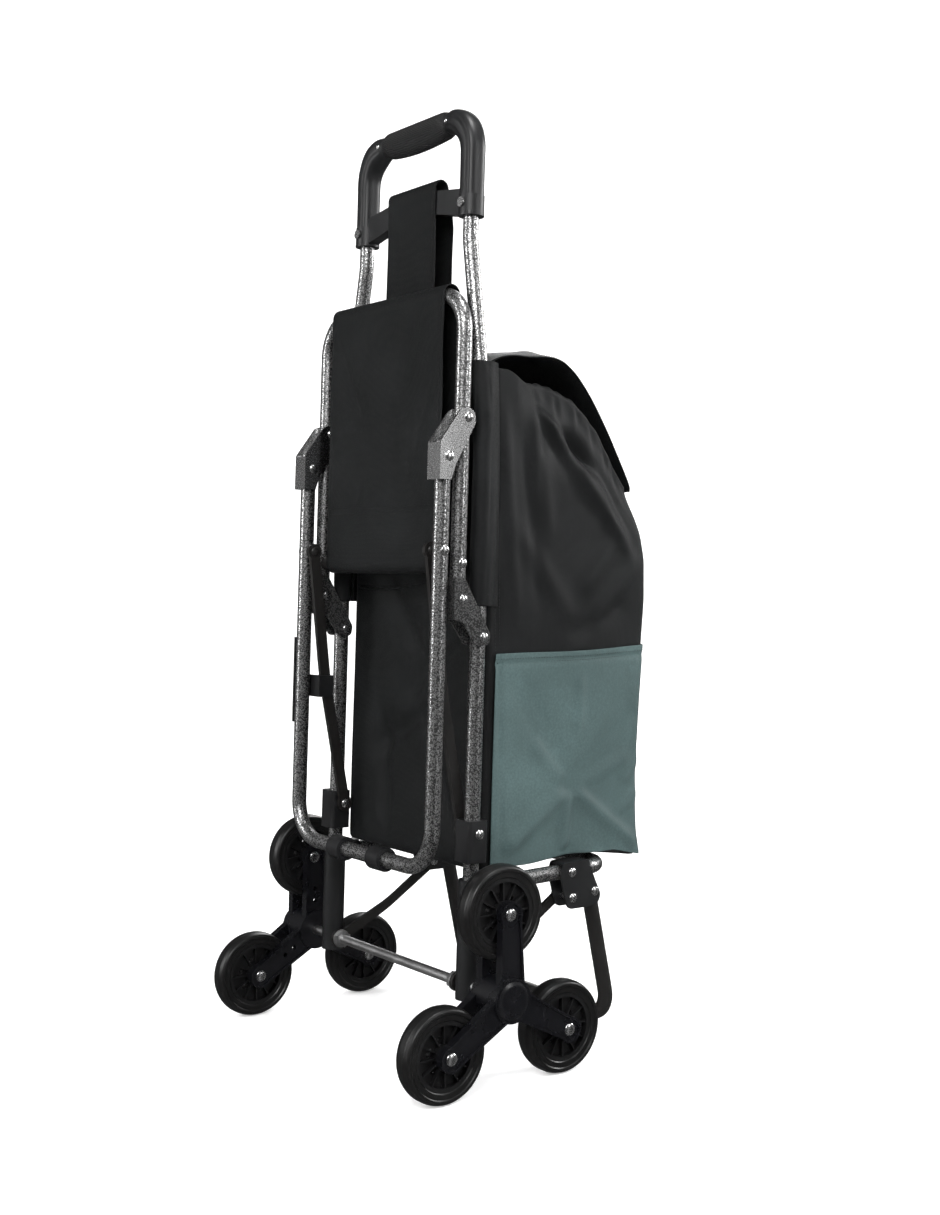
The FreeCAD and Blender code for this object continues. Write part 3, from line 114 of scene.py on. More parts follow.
def ramp(tree, factor, stops):
    """Colour ramp through (position, colour) stops; a number stands for a grey."""
    node = add(tree, "ShaderNodeValToRGB")
    elements = node.color_ramp.elements
    while len(elements) < len(stops):
        elements.new(0.5)
    for element, (position, colour) in zip(elements, stops):
        element.position = position
        if not hasattr(colour, "__len__"):
            colour = (colour,) * 3
        element.color = (*colour, 1)
    tree.links.new(factor, node.inputs["Fac"])
    return node.outputs["Color"]


def math_node(tree, operation, one, two=None):
    node = add(tree, "ShaderNodeMath", operation=operation)
    for index, value in enumerate((one, two)):
        if value is None:
            continue
        if isinstance(value, (int, float)):
            node.inputs[index].default_value = value
        else:
            tree.links.new(value, node.inputs[index])
    return node.outputs[0]


def bump(tree, shader, height, strength, distance, before=None):
    node = add(tree, "ShaderNodeBump")
    node.inputs["Strength"].default_value = strength
    node.inputs["Distance"].default_value = distance
    tree.links.new(height, node.inputs["Height"])
    if before is not None:
        tree.links.new(before, node.inputs["Normal"])
    tree.links.new(node.outputs["Normal"], shader.inputs["Normal"])
    return node.outputs["Normal"]


def colour_into(tree, shader, colour):
    tree.links.new(colour, shader.inputs["Base Color"])


def roughness_into(tree, shader, factor, low, high):
    grey = ramp(tree, factor, [(0.25, low), (0.75, high)])
    tree.links.new(grey, shader.inputs["Roughness"])


def hammertone(name, silver, dark, metallic):
    """Enamel that breaks into silver pools with dark seams between them."""
    material, tree, shader = node_material(name)
    coords = object_coords(tree)
    cells = add(tree, "ShaderNodeTexVoronoi", feature="SMOOTH_F1")
    cells.inputs["Scale"].default_value = 640
    cells.inputs["Smoothness"].default_value = 0.35
    cells.inputs["Randomness"].default_value = 1.0
    tree.links.new(coords, cells.inputs["Vector"])
    broken = noise(tree, coords, 1100, 2)
    mixed = math_node(tree, "ADD", cells.outputs["Distance"], math_node(tree, "MULTIPLY", broken, 0.45))
    colour_into(tree, shader, ramp(tree, mixed, [(0.48, silver), (0.64, silver * 0.55), (0.80, dark)]))
    tree.links.new(ramp(tree, mixed, [(0.4, 0.24), (0.8, 0.42)]), shader.inputs["Roughness"])
    shader.inputs["Metallic"].default_value = metallic
    shader.inputs["Coat Weight"].default_value = 0.3
    shader.inputs["Coat Roughness"].default_value = 0.12
    bump(tree, shader, math_node(tree, "SUBTRACT", 1.0, mixed), 0.25, 0.0003)
    return material


def plain_metal(name, grey, rough, brushed=False, speck=0.0):
    material, tree, shader = node_material(name)
    coords = object_coords(tree)
    fine = noise(tree, coords, 900 if not brushed else 260, 4)
    broad = noise(tree, coords, 35, 3)
    colour_into(tree, shader, ramp(tree, broad, [(0.3, grey * (0.86 - speck)), (0.7, grey)]))
    roughness_into(tree, shader, fine, rough * 0.8, rough * 1.35)
    shader.inputs["Metallic"].default_value = 1.0
    bump(tree, shader, fine, 0.12, 0.0002)
    return material


def moulded(name, colour, low, high, grain=900.0, depth=0.00015, coat=0.0):
    """Moulded plastic: fine grain, soft scuffs and an uneven sheen."""
    material, tree, shader = node_material(name)
    coords = object_coords(tree)
    fine = noise(tree, coords, grain, 2)
    broad = noise(tree, coords, 28, 4)
    darker = tuple(c * 0.72 for c in colour)
    colour_into(tree, shader, ramp(tree, broad, [(0.3, darker), (0.72, colour)]))
    roughness_into(tree, shader, broad, low, high)
    shader.inputs["Coat Weight"].default_value = coat
    shader.inputs["Coat Roughness"].default_value = 0.25
    bump(tree, shader, fine, 0.35, depth)
    return material


def cloth(name, colour, lift, sheen):
    """Coated oxford cloth: a fine plain weave with slubs, faded in broad random patches."""
    material, tree, shader = node_material(name)
    coords = object_coords(tree)
    split = add(tree, "ShaderNodeSeparateXYZ")
    tree.links.new(coords, split.inputs[0])
    pitch = 2 * math.pi / 0.0011
    waves = [math_node(tree, "SINE", math_node(tree, "MULTIPLY", axis, pitch)) for axis in split.outputs]
    weave = math_node(tree, "MULTIPLY", waves[0], waves[2])
    weave = math_node(tree, "ADD", weave, math_node(tree, "MULTIPLY", waves[1], waves[2]))
    weave = math_node(tree, "ADD", weave, math_node(tree, "MULTIPLY", waves[0], waves[1]))
    slub = noise(tree, coords, 420, 3)
    broad = noise(tree, coords, 9, 4)
    darker = tuple(c * 0.78 for c in colour)
    lighter = tuple(c * lift for c in colour)
    mixed = math_node(tree, "ADD", math_node(tree, "MULTIPLY", slub, 0.45),
                      math_node(tree, "MULTIPLY", broad, 0.55))
    colour_into(tree, shader, ramp(tree, mixed, [(0.33, darker), (0.5, colour), (0.68, lighter)]))
    roughness_into(tree, shader, slub, 0.44, 0.6)
    shader.inputs["Sheen Weight"].default_value = sheen
    shader.inputs["Sheen Roughness"].default_value = 0.45
    shader.inputs["Specular IOR Level"].default_value = 0.15
    first = bump(tree, shader, slub, 0.25, 0.0004)
    bump(tree, shader, weave, 0.3, 0.0002, first)
    return material


MATERIALS = {
    "hammertone": hammertone("hammertone_enamel", 0.9, 0.13, 0.97),
    # dark_plate is the bracket metal of bright_plate with painted shade: its dark grey stands in for dark
    # reflections, not a different finish
    "dark_plate": hammertone("hammertone_plate_painted_shade", 0.17, 0.03, 0.7),
    "bright_plate": plain_metal("bright_plate", 0.8, 0.23),
    "black_paint": moulded("satin_black_paint", (0.012, 0.011, 0.0105), 0.32, 0.5, 500, 0.0001, 0.25),
    "chrome": plain_metal("bright_rivet", 0.86, 0.24),
    "zinc": plain_metal("zinc_plated_rod", 0.9, 0.34, brushed=True, speck=0.15),
    "tyre": moulded("tyre_rubber", (0.0055, 0.0054, 0.0054), 0.3, 0.48, 700, 0.0002),
    "wheel_plastic": moulded("cluster_plastic", (0.0052, 0.0053, 0.0068), 0.22, 0.36, 800, 0.0001, 0.05),
    "rim": moulded("rim_plastic", (0.004, 0.004, 0.0045), 0.45, 0.6, 800, 0.0001),
    "black_plastic": moulded("handle_plastic", (0.010, 0.0103, 0.0112), 0.34, 0.5, 800, 0.00012),
    "grip_rubber": moulded("grip_rubber", (0.010, 0.010, 0.0103), 0.5, 0.7, 500, 0.0003),
    "black_cloth": cloth("black_oxford", (0.0056, 0.0061, 0.0064), 1.7, 0.015),
    "teal_cloth": cloth("teal_oxford", (0.046, 0.073, 0.073), 1.35, 0.03),
    "board": moulded("base_board_sheet", (0.03, 0.03, 0.03), 0.5, 0.7),
}

slot_of = {part["node"]: part["material_slot"] for part in frame["record"]["subparts"]}
for name, thing in nodes.items():
    thing.data.materials.clear()
    finish = "rim" if name.startswith("rim_") else slot_of[name]
    thing.data.materials.append(MATERIALS[finish])
    thing.data.polygons.foreach_set("use_smooth", [True] * len(thing.data.polygons))
    thing.data.set_sharp_from_angle(angle=math.radians(32))

# ---------------------------------------------------------------- cloth helpers

RNG = np.random.default_rng(7)
CLOTH = 1.1          # thickness of a ply, in millimetres


def bell(distance, width):
    """Smooth bump of height 1 and about the given half width."""
    return np.exp(-(distance / width) ** 2)


def steps(low, high, count):
    return np.linspace(low, high, count)


def waves(count, low, high):
    """Seeded (wavelength, phase) pairs, for edges and surfaces that aren't quite even."""
    return [(RNG.uniform(low, high), RNG.uniform(0, 2 * math.pi)) for _ in range(count)]


def wavy(terms, along):
    """Mean of the sines with the given wavelengths and phases."""
    return sum(np.sin(along / length * 2 * math.pi + phase) for length, phase in terms) / len(terms)


def crease(x, y, start, end, width, depth, fade=0.25):
    """Ridge of the given depth along the line from start to end, which fades at both ends."""
    way = np.subtract(end, start)
    length = np.hypot(*way)
    way = way / length
    along = ((x - start[0]) * way[0] + (y - start[1]) * way[1]) / length
    across = (x - start[0]) * way[1] - (y - start[1]) * way[0]
    inside = np.clip(along / fade, 0, 1) * np.clip((1 - along) / fade, 0, 1)
    return depth * bell(across, width) * inside * inside * (3 - 2 * inside)


def cloth_piece(name, points, material, closed=False, thick=CLOTH, smooth=1):
    """Sheet through a grid of points, rows by columns, in metres."""
    rows, columns = points.shape[:2]
    faces = []
    for row in range(rows - 1):
        for column in range(columns if closed else columns - 1):
            following = (column + 1) % columns
            faces.append((row * columns + column, row * columns + following,
                          (row + 1) * columns + following, (row + 1) * columns + column))
    mesh = bpy.data.meshes.new(name)
    mesh.from_pydata(points.reshape(-1, 3).tolist(), [], faces)
    mesh.polygons.foreach_set("use_smooth", [True] * len(mesh.polygons))
    mesh.materials.append(material)
    piece = bpy.data.objects.new(name, mesh)
    scene.collection.objects.link(piece)
    if thick:
        ply = piece.modifiers.new("ply", "SOLIDIFY")
        ply.thickness = thick * MM
        ply.offset = 0
    if smooth:
        finer = piece.modifiers.new("finer", "SUBSURF")
        finer.levels = smooth
        finer.render_levels = smooth
    return piece


def placed(x, depth, height):
    """Grid of points in metres from grids of millimetres, depth from the axle."""
    x, depth, height = np.broadcast_arrays(x, depth, height)
    return np.stack([x * MM, axle_y + depth * MM, height * MM], axis=-1)


def leaned(x, n, s):
    """Grid of points in metres from grids of millimetres in the leaning frame."""
    x, n, s = np.broadcast_arrays(x, n, s)
    return np.stack([x * MM, axle_y + (n * LEAN_COS + s * LEAN_SIN) * MM,
                     axle_z + (s * LEAN_COS - n * LEAN_SIN) * MM], axis=-1)


def stitches(name, line, outward, body, pitch=3.4, length=2.2, radius=0.32):
    """Row of short thread stitches along a line of points in metres."""
    line = np.asarray(line)
    gaps = np.linalg.norm(np.diff(line, axis=0), axis=1)
    reach = np.concatenate([[0], np.cumsum(gaps)])
    count = int(reach[-1] / (pitch * MM))
    mesh = bmesh.new()
    for index in range(count):
        middle = (index + 0.5) / count * reach[-1]
        ends = [np.array([np.interp(middle + shift * length * MM / 2, reach, line[:, axis])
                          for axis in range(3)]) for shift in (-1, 1)]
        way = Vector(ends[1] - ends[0])
        if way.length < 1e-6:
            continue
        turn = way.to_track_quat("Z", "Y").to_matrix().to_4x4()
        centre = Vector((ends[0] + ends[1]) / 2) + Vector(outward) * radius * 0.5 * MM
        place = Matrix.Translation(centre) @ turn @ Matrix.Diagonal((1, 1, way.length / (2 * radius * MM), 1))
        bmesh.ops.create_icosphere(mesh, subdivisions=1, radius=radius * MM, matrix=place)
    data = bpy.data.meshes.new(name)
    mesh.to_mesh(data)
    mesh.free()
    data.polygons.foreach_set("use_smooth", [True] * len(data.polygons))
    data.materials.append(THREAD)
    piece = bpy.data.objects.new(name, data)
    scene.collection.objects.link(piece)
    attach(piece, body)
    return piece


THREAD = cloth("sewing_thread", (0.02, 0.02, 0.021), 1.4, 0.0)

# ---------------------------------------------------------------- bag

BAG_HALF = 123.0
BACK_N = 12.2
BAG_BOTTOM = 199.0
BACK_CORNER = 9.0
FRONT_CORNER = 17.0
FRONT_Z = [186, 250, 283, 358, 413, 467, 511, 538, 565, 592]
FRONT_DEPTH = [242.5, 240.5, 241.0, 247.5, 253.5, 259.5, 260.0, 255.0, 245.5, 233.0]
RIM_DEPTH = [38, 67, 94, 132, 164, 194, 216, 232, 252]
RIM_HEIGHT = [704, 703, 688, 681, 668, 640, 606, 584, 572]
GATHER = (104.0, 684.0)      # where the mouth's folds run together, as depth and height


def back_line(height, n=BACK_N):
    return (n + (height - axle_z / MM) * LEAN_SIN) / LEAN_COS


def front_line(height):
    return np.interp(height, FRONT_Z, FRONT_DEPTH)


def rim_line(depth):
    return np.interp(depth, RIM_DEPTH, RIM_HEIGHT)


def bottom_line(depth):
    return np.interp(depth, [30, 200, 236, 260], [BAG_BOTTOM, BAG_BOTTOM, 187.5, 187.0])


def perimeter(side_steps, across_steps, corner_steps):
    """Plan of the bag as (x share, depth share, x inset, depth inset) for each column.

    The shares place a column on the straight sides; the insets round the corners, in millimetres.
    """
    columns = []
    for share in steps(-1, 1, across_steps)[:-1]:
        columns.append((share, 0.0, -share * BACK_CORNER, 0.0))
    for turn in steps(-90, 0, corner_steps)[:-1]:
        columns.append((1.0, 0.0, BACK_CORNER * (math.cos(math.radians(turn)) - 1),
                        BACK_CORNER * (1 + math.sin(math.radians(turn)))))
    for share in steps(0, 1, side_steps)[:-1]:
        columns.append((1.0, share, 0.0, BACK_CORNER * (1 - share) - FRONT_CORNER * share))
    for turn in steps(0, 90, corner_steps)[:-1]:
        columns.append((1.0, 1.0, FRONT_CORNER * (math.cos(math.radians(turn)) - 1),
                        FRONT_CORNER * (math.sin(math.radians(turn)) - 1)))
    half = len(columns) - (across_steps - 1)
    right = columns[across_steps - 1:]
    for share in steps(1, -1, across_steps)[:-1]:
        columns.append((share, 1.0, -share * FRONT_CORNER, 0.0))
    for share_x, share_y, inset_x, inset_y in right[::-1][:half]:
        columns.append((-share_x, share_y, -inset_x, inset_y))
    return np.array(columns)



# Folds, as (start, end, width, size) in millimetres; a fold from the gather starts there. A positive
# size goes into the bag. Places are (depth, height) on the sides and (x, height) on the front and back.
FOLDS_FROM_GATHER = [((156, 600), 6, -5.0), ((190, 560), 8, -5.0), ((118, 520), 8, -2.6),
                     ((96, 560), 6, -2.4), ((222, 552), 7, -6.0), ((243, 500), 7, -5.0),
                     ((142, 632), 4, 6.0), ((186, 600), 5, 6.0), ((112, 610), 5, 3.0)]
SIDE_CREASES = [((236, 565), (150, 470), 11, -5.0), ((247, 520), (165, 436), 9, -4.0),
                ((60, 690), (72, 430), 6, -3.2), ((84, 660), (104, 440), 7, 2.6),
                ((230, 470), (130, 428), 8, 3.0), ((66, 560), (150, 440), 10, -2.6)]
FRONT_CREASES = [((-90, 560), (-20, 420), 9, -4.6), ((80, 560), (30, 430), 9, -4.4),
                 ((0, 570), (6, 440), 8, -3.6), ((-60, 300), (40, 400), 12, -2.8),
                 ((-40, 565), (-70, 450), 6, 3.0), ((46, 560), (74, 440), 6, 3.0)]
BACK_CREASES = [((-96, 540), (30, 400), 12, 5.0), ((100, 470), (-30, 350), 12, 6.5),
                ((-90, 300), (70, 372), 11, 7.0), ((-60, 360), (-40, 210), 9, 5.0),
                ((20, 350), (90, 215), 10, 6.0), ((84, 330), (-20, 330), 10, -2.6)]


def side_dents(depth, height, rim_gap, side):
    """How far the side panel leans in towards the middle, in millimetres."""
    mouth = np.clip((depth - 78) / 40, 0, 1) * np.clip((262 - depth) / 40, 0, 1)
    dent = 13 * mouth * bell(rim_gap, 26)
    dent += 17 * bell(depth - 154, 30) * bell(rim_gap - 44, 20)
    dent += 8 * bell(depth - 206, 20) * bell(rim_gap - 40, 20)
    dent -= 5 * bell(depth - 160, 60) * bell(height - 470, 120)
    for end, width, size_of_fold in FOLDS_FROM_GATHER:
        dent += crease(depth, height, GATHER, end, width, size_of_fold)
    for start, end, width, size_of_fold in SIDE_CREASES:
        dent += crease(depth, height, start, end, width, size_of_fold)
    dent += 1.8 * np.sin(height / 47 + side + depth / 80) * bell(depth - 150, 70)
    dent += 2.4 * bell(depth - 47, 1.7)
    return dent


def front_dents(x, height, rim_gap):
    dent = 7 * bell(rim_gap, 24) * (1 - (x / BAG_HALF) ** 2)
    dent -= 2.5 * bell(height - 500, 60) * bell(x, 70)
    for start, end, width, size_of_fold in FRONT_CREASES:
        dent += crease(x, height, start, end, width, size_of_fold)
    return dent


def back_dents(x, height):
    """How far the back panel gives way from the uprights, in millimetres."""
    dent = 1.5 * np.sin(height / 43 + x / 60)
    for start, end, width, size_of_fold in BACK_CREASES:
        dent += crease(x, height, start, end, width, size_of_fold)
    hem_line = height - 482 - 3 * np.sin(x / 40)
    dent -= 2.6 * bell(hem_line, 2.4) - 2.4 * bell(hem_line + 5.5, 2.4)
    return np.maximum(dent, -2.8)


def bag_surface(plan, share_up, offset=0.0, low=None, high=None):
    """Bag points for plan columns and heights given as shares from the bottom to the rim."""
    share_x, share_y, inset_x, inset_y = (plan[:, i][None, :] for i in range(4))
    up = np.asarray(share_up)[:, None]
    guess = np.full((len(share_up), len(plan)), 420.0)
    for _ in range(8):
        back, front = back_line(guess), front_line(guess)
        depth = back + (front - back) * share_y + inset_y
        bottom = bottom_line(depth) if low is None else low(depth)
        top = rim_line(depth) if high is None else high(depth)
        guess = bottom + (top - bottom) * up
    height = guess
    x = BAG_HALF * share_x + inset_x
    rim_gap = rim_line(depth) - height
    on_side = np.clip((np.abs(x) - BAG_HALF + FRONT_CORNER) / FRONT_CORNER, 0, 1)
    side = np.sign(x)
    x = x - side * on_side * side_dents(depth, height, rim_gap, side) + side * on_side * offset
    on_back = np.clip(1 - (depth - back_line(height)) / 6, 0, 1) * (1 - on_side)
    depth = depth + on_back * back_dents(x, height)
    on_front = np.clip((depth - front_line(height) + FRONT_CORNER) / FRONT_CORNER, 0, 1)
    depth = depth - on_front * front_dents(x, height, rim_gap) + on_front * offset
    return x, depth, height


def make_bag():
    """Open bag whose mouth is gathered in a rolled hem."""
    plan = perimeter(34, 30, 7)
    share_up = np.concatenate([steps(0, 0.86, 48), steps(0.875, 1, 14)])
    x, depth, height = bag_surface(plan, share_up)
    # bottom: four rows that close in under the bag
    centre_x, centre_y = 0.0, 138.0
    floor = []
    for share in (0.0, 0.35, 0.7, 0.93):
        fx = centre_x + (x[0] - centre_x) * share
        fy = centre_y + (depth[0] - centre_y) * share
        floor.append((fx, fy, np.minimum(bottom_line(fy), height[0] + 2)))
    floor = [np.stack([row[i] for row in floor]) for i in range(3)]
    # hem: rolls outward, then the gathered cloth falls inside
    index = np.arange(plan.shape[0])
    pucker = np.sin(index * 1.9 + 0.8 * np.sin(index * 0.37)) + 0.6 * np.sin(index * 3.1 + 1.0)
    gathered = np.clip((depth[-1] - 84) / 30, 0, 1)
    radius = 1.5 + 4.2 * gathered + 0.8 * pucker * gathered
    inward_x = -np.sign(x[-1]) * np.clip((np.abs(x[-1]) - BAG_HALF + 45) / 45, 0, 1)
    inward_y = np.where(plan[:, 1] > 0.98, -1.0, 0.0) + np.where(plan[:, 1] < 0.02, 1.0, 0.0)
    length = np.hypot(inward_x, inward_y) + 1e-6
    inward_x, inward_y = inward_x / length, inward_y / length
    hem = []
    for turn in steps(200, -60, 9):
        out = -math.cos(math.radians(turn))
        rise = math.sin(math.radians(turn))
        hem.append((x[-1] + inward_x * radius * (1 - out) * 1.0, depth[-1] + inward_y * radius * (1 - out),
                    height[-1] + 1.0 + radius * (1 + rise)))
    drop = steps(6, 38, 7)
    for index_in, fall in enumerate(drop):
        reach = (8 + fall * 0.9) * gathered + 3
        ripple = pucker * 1.9 * gathered * (0.4 + index_in / 8)
        hem.append((x[-1] + inward_x * (reach + ripple * 0.4), depth[-1] + inward_y * (reach + ripple * 0.4),
                    height[-1] + 1.5 - fall * 0.25 + ripple))
    hem = [np.stack([row[i] for row in hem]) for i in range(3)]
    near_rim = bell(rim_gap_of(depth, height), 17)
    x = x + np.sign(x) * near_rim * pucker * 1.5 * gathered
    x, depth, height = (np.concatenate([f, w, g]) for f, w, g in zip(floor, (x, depth, height), hem))
    bag = cloth_piece("bag_shell", placed(x, depth, height), MATERIALS["black_cloth"],
                      closed=True)
    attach(bag, "frame")
    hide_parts("bag_body")
    # seams down the back edges of the side panels
    for name, side in (("left", -1), ("right", 1)):
        heights = steps(212, 690, 120)
        for offset in (-2.6, 2.8):
            line = placed(side * (BAG_HALF + 0.2), 47.0 + offset, heights)
            line[:, 0] -= side * MM * side_dents(47.0 + offset, heights, rim_line(47.0) - heights, side)
            stitches(f"bag_seam_{name}_{'front' if offset > 0 else 'back'}", line, (side, 0, 0), "frame")


def rim_gap_of(depth, height):
    return rim_line(depth) - height


BAND_TOP = 418.0
BAND_CROSSING = (138.0, 274.0)       # where the side panel's creases meet, as depth and height
BAND_CREASES = [((44, 214), 8, 6.4), ((238, 196), 7, 7.5), ((86, 330), 9, 3.4), ((238, 352), 11, -3.4),
                ((130, 205), 6, 5.0), ((64, 400), 12, -3.0), ((230, 300), 8, 3.0)]     # end, width, lift


def make_band():
    """Teal panel sewn round the lower sides and front, with a stitched hem along its top."""
    plan = perimeter(46, 44, 9)
    keep_columns = plan[:, 1] > 0.02
    order = np.flatnonzero(keep_columns)
    plan = plan[order]
    share_up = np.concatenate([steps(0, 0.04, 4), steps(0.06, 0.955, 46), steps(0.965, 1, 5)])
    sag = waves(3, 120, 260)

    def band_low(depth):
        return bottom_line(depth) + 1.5 + 1.5 * np.sin(depth / 17)

    def band_high(depth):
        return np.full_like(depth, BAND_TOP) + 0.8 * np.sin(depth / 33)

    x, depth, height = bag_surface(plan, share_up, 2.3, band_low, band_high)
    side = np.sign(x)
    on_side = np.clip((np.abs(x) - BAG_HALF + FRONT_CORNER) / FRONT_CORNER, 0, 1)
    fold = np.zeros_like(x)
    middle = BAND_CROSSING
    for end, width, lift in BAND_CREASES:
        fold += crease(depth, height, middle, end, width, lift, 0.18)
    fold += crease(depth, height, (152, 398), (150, 322), 5, 2.4, 0.2)
    fold -= 4.0 * bell(depth - 137, 8) * bell(height - 197, 20)
    fold -= 4.0 * bell(np.hypot(depth - middle[0], height - middle[1]), 12)
    fold += crease(depth, height, (244, 300), (205, 270), 6, 3.0, 0.3)
    fold += crease(depth, height, (244, 262), (196, 236), 7, 3.0, 0.3)
    fold = np.maximum(fold, -1.6) + 0.4
    x = x + side * on_side * (fold - 2.0 * bell(height - (BAND_TOP - 9), 1.5))
    on_front = 1 - on_side
    front_fold = crease(x, height, (0, 330), (-100, 205), 10, 2.6, 0.2)
    front_fold += crease(x, height, (0, 330), (104, 205), 10, 2.6, 0.2)
    front_fold += crease(x, height, (10, 340), (-90, 402), 12, -1.8, 0.2)
    depth = depth + on_front * (front_fold + 0.8 * wavy(sag, x))
    corner = bell(np.hypot(np.abs(x) - BAG_HALF, depth - 238), 26) * bell(height - 188, 16)
    depth = depth + 4.0 * corner
    height = height - 2.0 * corner
    band = cloth_piece("bag_lower_panel", placed(x, depth, height), MATERIALS["teal_cloth"])
    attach(band, "frame")
    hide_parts("bag_band")
    grid = placed(x, depth, height)
    rows = height[:, 0]
    for number, drop in enumerate((5.5, 9.5)):
        row = int(np.argmin(np.abs(rows - (BAND_TOP - drop))))
        line = grid[row].copy()
        way = np.sign(line[:, 0]) * np.clip((np.abs(line[:, 0]) - 0.1) / 0.02, 0, 1)
        line[:, 0] += way * 0.0007
        line[:, 1] += (1 - np.abs(way)) * 0.0007
        stitches(f"panel_hem_stitches_{number + 1}", line, (0, 0, 0), "frame")


TUBE_X = 128.0           # middle of each upright, below its splay
SEAM_X = 125.6           # where the sleeve is sewn to the bag's side


def make_sleeves():
    """Cloth wing from each side seam of the bag round the upright and back."""
    for name, side in (("left", -1), ("right", 1)):
        s = np.concatenate([[380.0, 381.5], steps(386, 622, 42), [624.5, 626.0]])[:, None]
        tube_x = TUBE_X - np.clip(s - 574, 0, None) * 0.175
        angles = np.radians(steps(-12, 250, 26))[None, :]
        radius = 9.6 + 0.25 * np.sin(s / 9.0) * np.sin(angles * 2)
        ring_x = tube_x + radius * np.cos(angles)
        ring_n = -radius * np.sin(angles)
        # outer ply: from the bag's side seam to the tube's outer side
        share = steps(0, 1, 12)[None, :-1]
        start_n = 23.0 - 0.028 * (s - 500)
        bow = 2.2 * np.sin(share * math.pi) + 0.9 * np.sin(s / 37.0 + share * 4)
        first_x, first_n = ring_x[:, :1], ring_n[:, :1]
        outer_x = SEAM_X - np.clip(s - 600, 0, None) * 0.05 + (first_x - SEAM_X) * share + bow
        outer_n = start_n + (first_n - start_n) * share
        # inner ply: from the tube's inner side to the back panel
        last_x, last_n = ring_x[:, -1:], ring_n[:, -1:]
        share = steps(0, 1, 6)[None, 1:]
        inner_x = last_x + (np.minimum(tube_x - 6, 120.5) - last_x) * share
        inner_n = last_n + (10.6 - last_n) * share
        x = np.concatenate([outer_x, ring_x, inner_x], axis=1)
        n = np.concatenate([outer_n, ring_n, inner_n], axis=1)
        hem = 0.5 * (bell(s - 390, 1.5) + bell(s - 616, 1.5))
        on_outer = [np.ones_like(outer_x), np.zeros_like(ring_x), np.zeros_like(inner_x)]
        x = x - hem * np.concatenate(on_outer, axis=1)
        grid = leaned(side * x, n, s)
        piece = cloth_piece(f"upright_sleeve_{name}", grid, MATERIALS["black_cloth"], smooth=1)
        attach(piece, "frame")
        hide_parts(f"bag_sleeve_{name}")
        for row in (3, len(s) - 4):
            line = leaned(side * (x[row] + 0.7), n[row], s[row])[:12]
            stitches(f"sleeve_stitches_{name}_{row}", line, (side, 0, 0), "frame")


FLAP_DEPTH = [47.5, 56, 70, 84, 110, 133, 150, 170, 190, 204, 216, 228, 238, 244, 245.5, 243]
FLAP_HEIGHT = [712.5, 720, 727, 731.5, 735, 735.5, 731, 713, 691, 672, 654, 630, 609, 597, 589, 584]


LID_HALF = 112.0
LID_CREASES = [((-104, 60), (-20, 190), 10, 2.4), ((100, 50), (30, 170), 10, 2.6),
               ((112, 120), (40, 236), 9, 2.2), ((-60, 60), (60, 70), 9, -1.6)]


def make_flap():
    """Lid that turns about the bag's top back edge and hangs over the mouth."""
    reach = np.concatenate([[0], np.cumsum(np.hypot(np.diff(FLAP_DEPTH), np.diff(FLAP_HEIGHT)))])
    along = np.concatenate([steps(0, 0.95, 44), steps(0.96, 1, 6)]) * reach[-1]
    depth = np.interp(along, reach, FLAP_DEPTH)
    height = np.interp(along, reach, FLAP_HEIGHT)
    kernel = bell(steps(-2, 2, 9), 1.2)
    kernel = kernel / kernel.sum()
    depth, height = (np.convolve(np.pad(v, 4, mode="edge"), kernel, "valid") for v in (depth, height))
    depth, height, along = depth[:, None], height[:, None], along[:, None]
    x = np.concatenate([[-LID_HALF, -110.5], steps(-107, 107, 40), [110.5, LID_HALF]])[None, :]
    edge = np.abs(x) / LID_HALF
    free = np.clip(along / 60, 0, 1)
    droop = 7.5 * edge ** 4 * free
    ripple = 1.8 * np.sin(along / 23 + x / 60) * free * edge ** 2
    ripple += 1.2 * np.sin(x / 31 + 0.7) * free
    for start, end, width, size_of_fold in LID_CREASES:
        ripple += crease(x, along, start, end, width, size_of_fold)
    slope_d = np.gradient(depth[:, 0])[:, None]
    slope_h = np.gradient(height[:, 0])[:, None]
    length = np.hypot(slope_d, slope_h)
    normal_d, normal_h = -slope_h / length, slope_d / length
    hem = -0.5 * bell(np.abs(x) - 104.5, 1.2) * free
    push = ripple - droop * 0.75 + hem - 0.5
    grid_depth = depth - 0 * x + normal_d * push * 0.6
    grid_height = height + normal_h * push - droop * 0.25
    grid_depth = np.minimum(grid_depth, 247.0)
    flap = cloth_piece("bag_lid", placed(x + 0 * along, grid_depth, grid_height), MATERIALS["black_cloth"],
                       thick=1.6)
    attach(flap, "bag_flap")
    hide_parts("bag_flap")
    grid = placed(x + 0 * along, grid_depth, grid_height)
    for name, column in (("left", 2), ("right", -3)):
        line = grid[3:-3, column].copy()
        line += np.stack([0 * normal_d[3:-3, 0], normal_d[3:-3, 0], normal_h[3:-3, 0]], axis=-1) * 0.0011
        stitches(f"lid_stitches_{name}", line, (0, 0, 0), "bag_flap")


def flat_loop(centre_n, reach, low, high):
    """Side view of a loop of cloth round two bars, as (n, s) points."""
    front = steps(low, high, 40)
    turns = steps(0, math.pi, 12)[1:-1]
    loop = [(centre_n - reach, s) for s in front]
    loop += [(centre_n - reach * math.cos(a), high + reach * math.sin(a)) for a in turns]
    loop += [(centre_n + reach, s) for s in front[::-1]]
    loop += [(centre_n + reach * math.cos(a), low - reach * math.sin(a)) for a in turns]
    return np.array(loop)


SEAT_N = -27.0       # middle of the folded seat's tube, in front of the uprights
SEAT_SEAM = 478.0
SEAT_HALF = 106.0


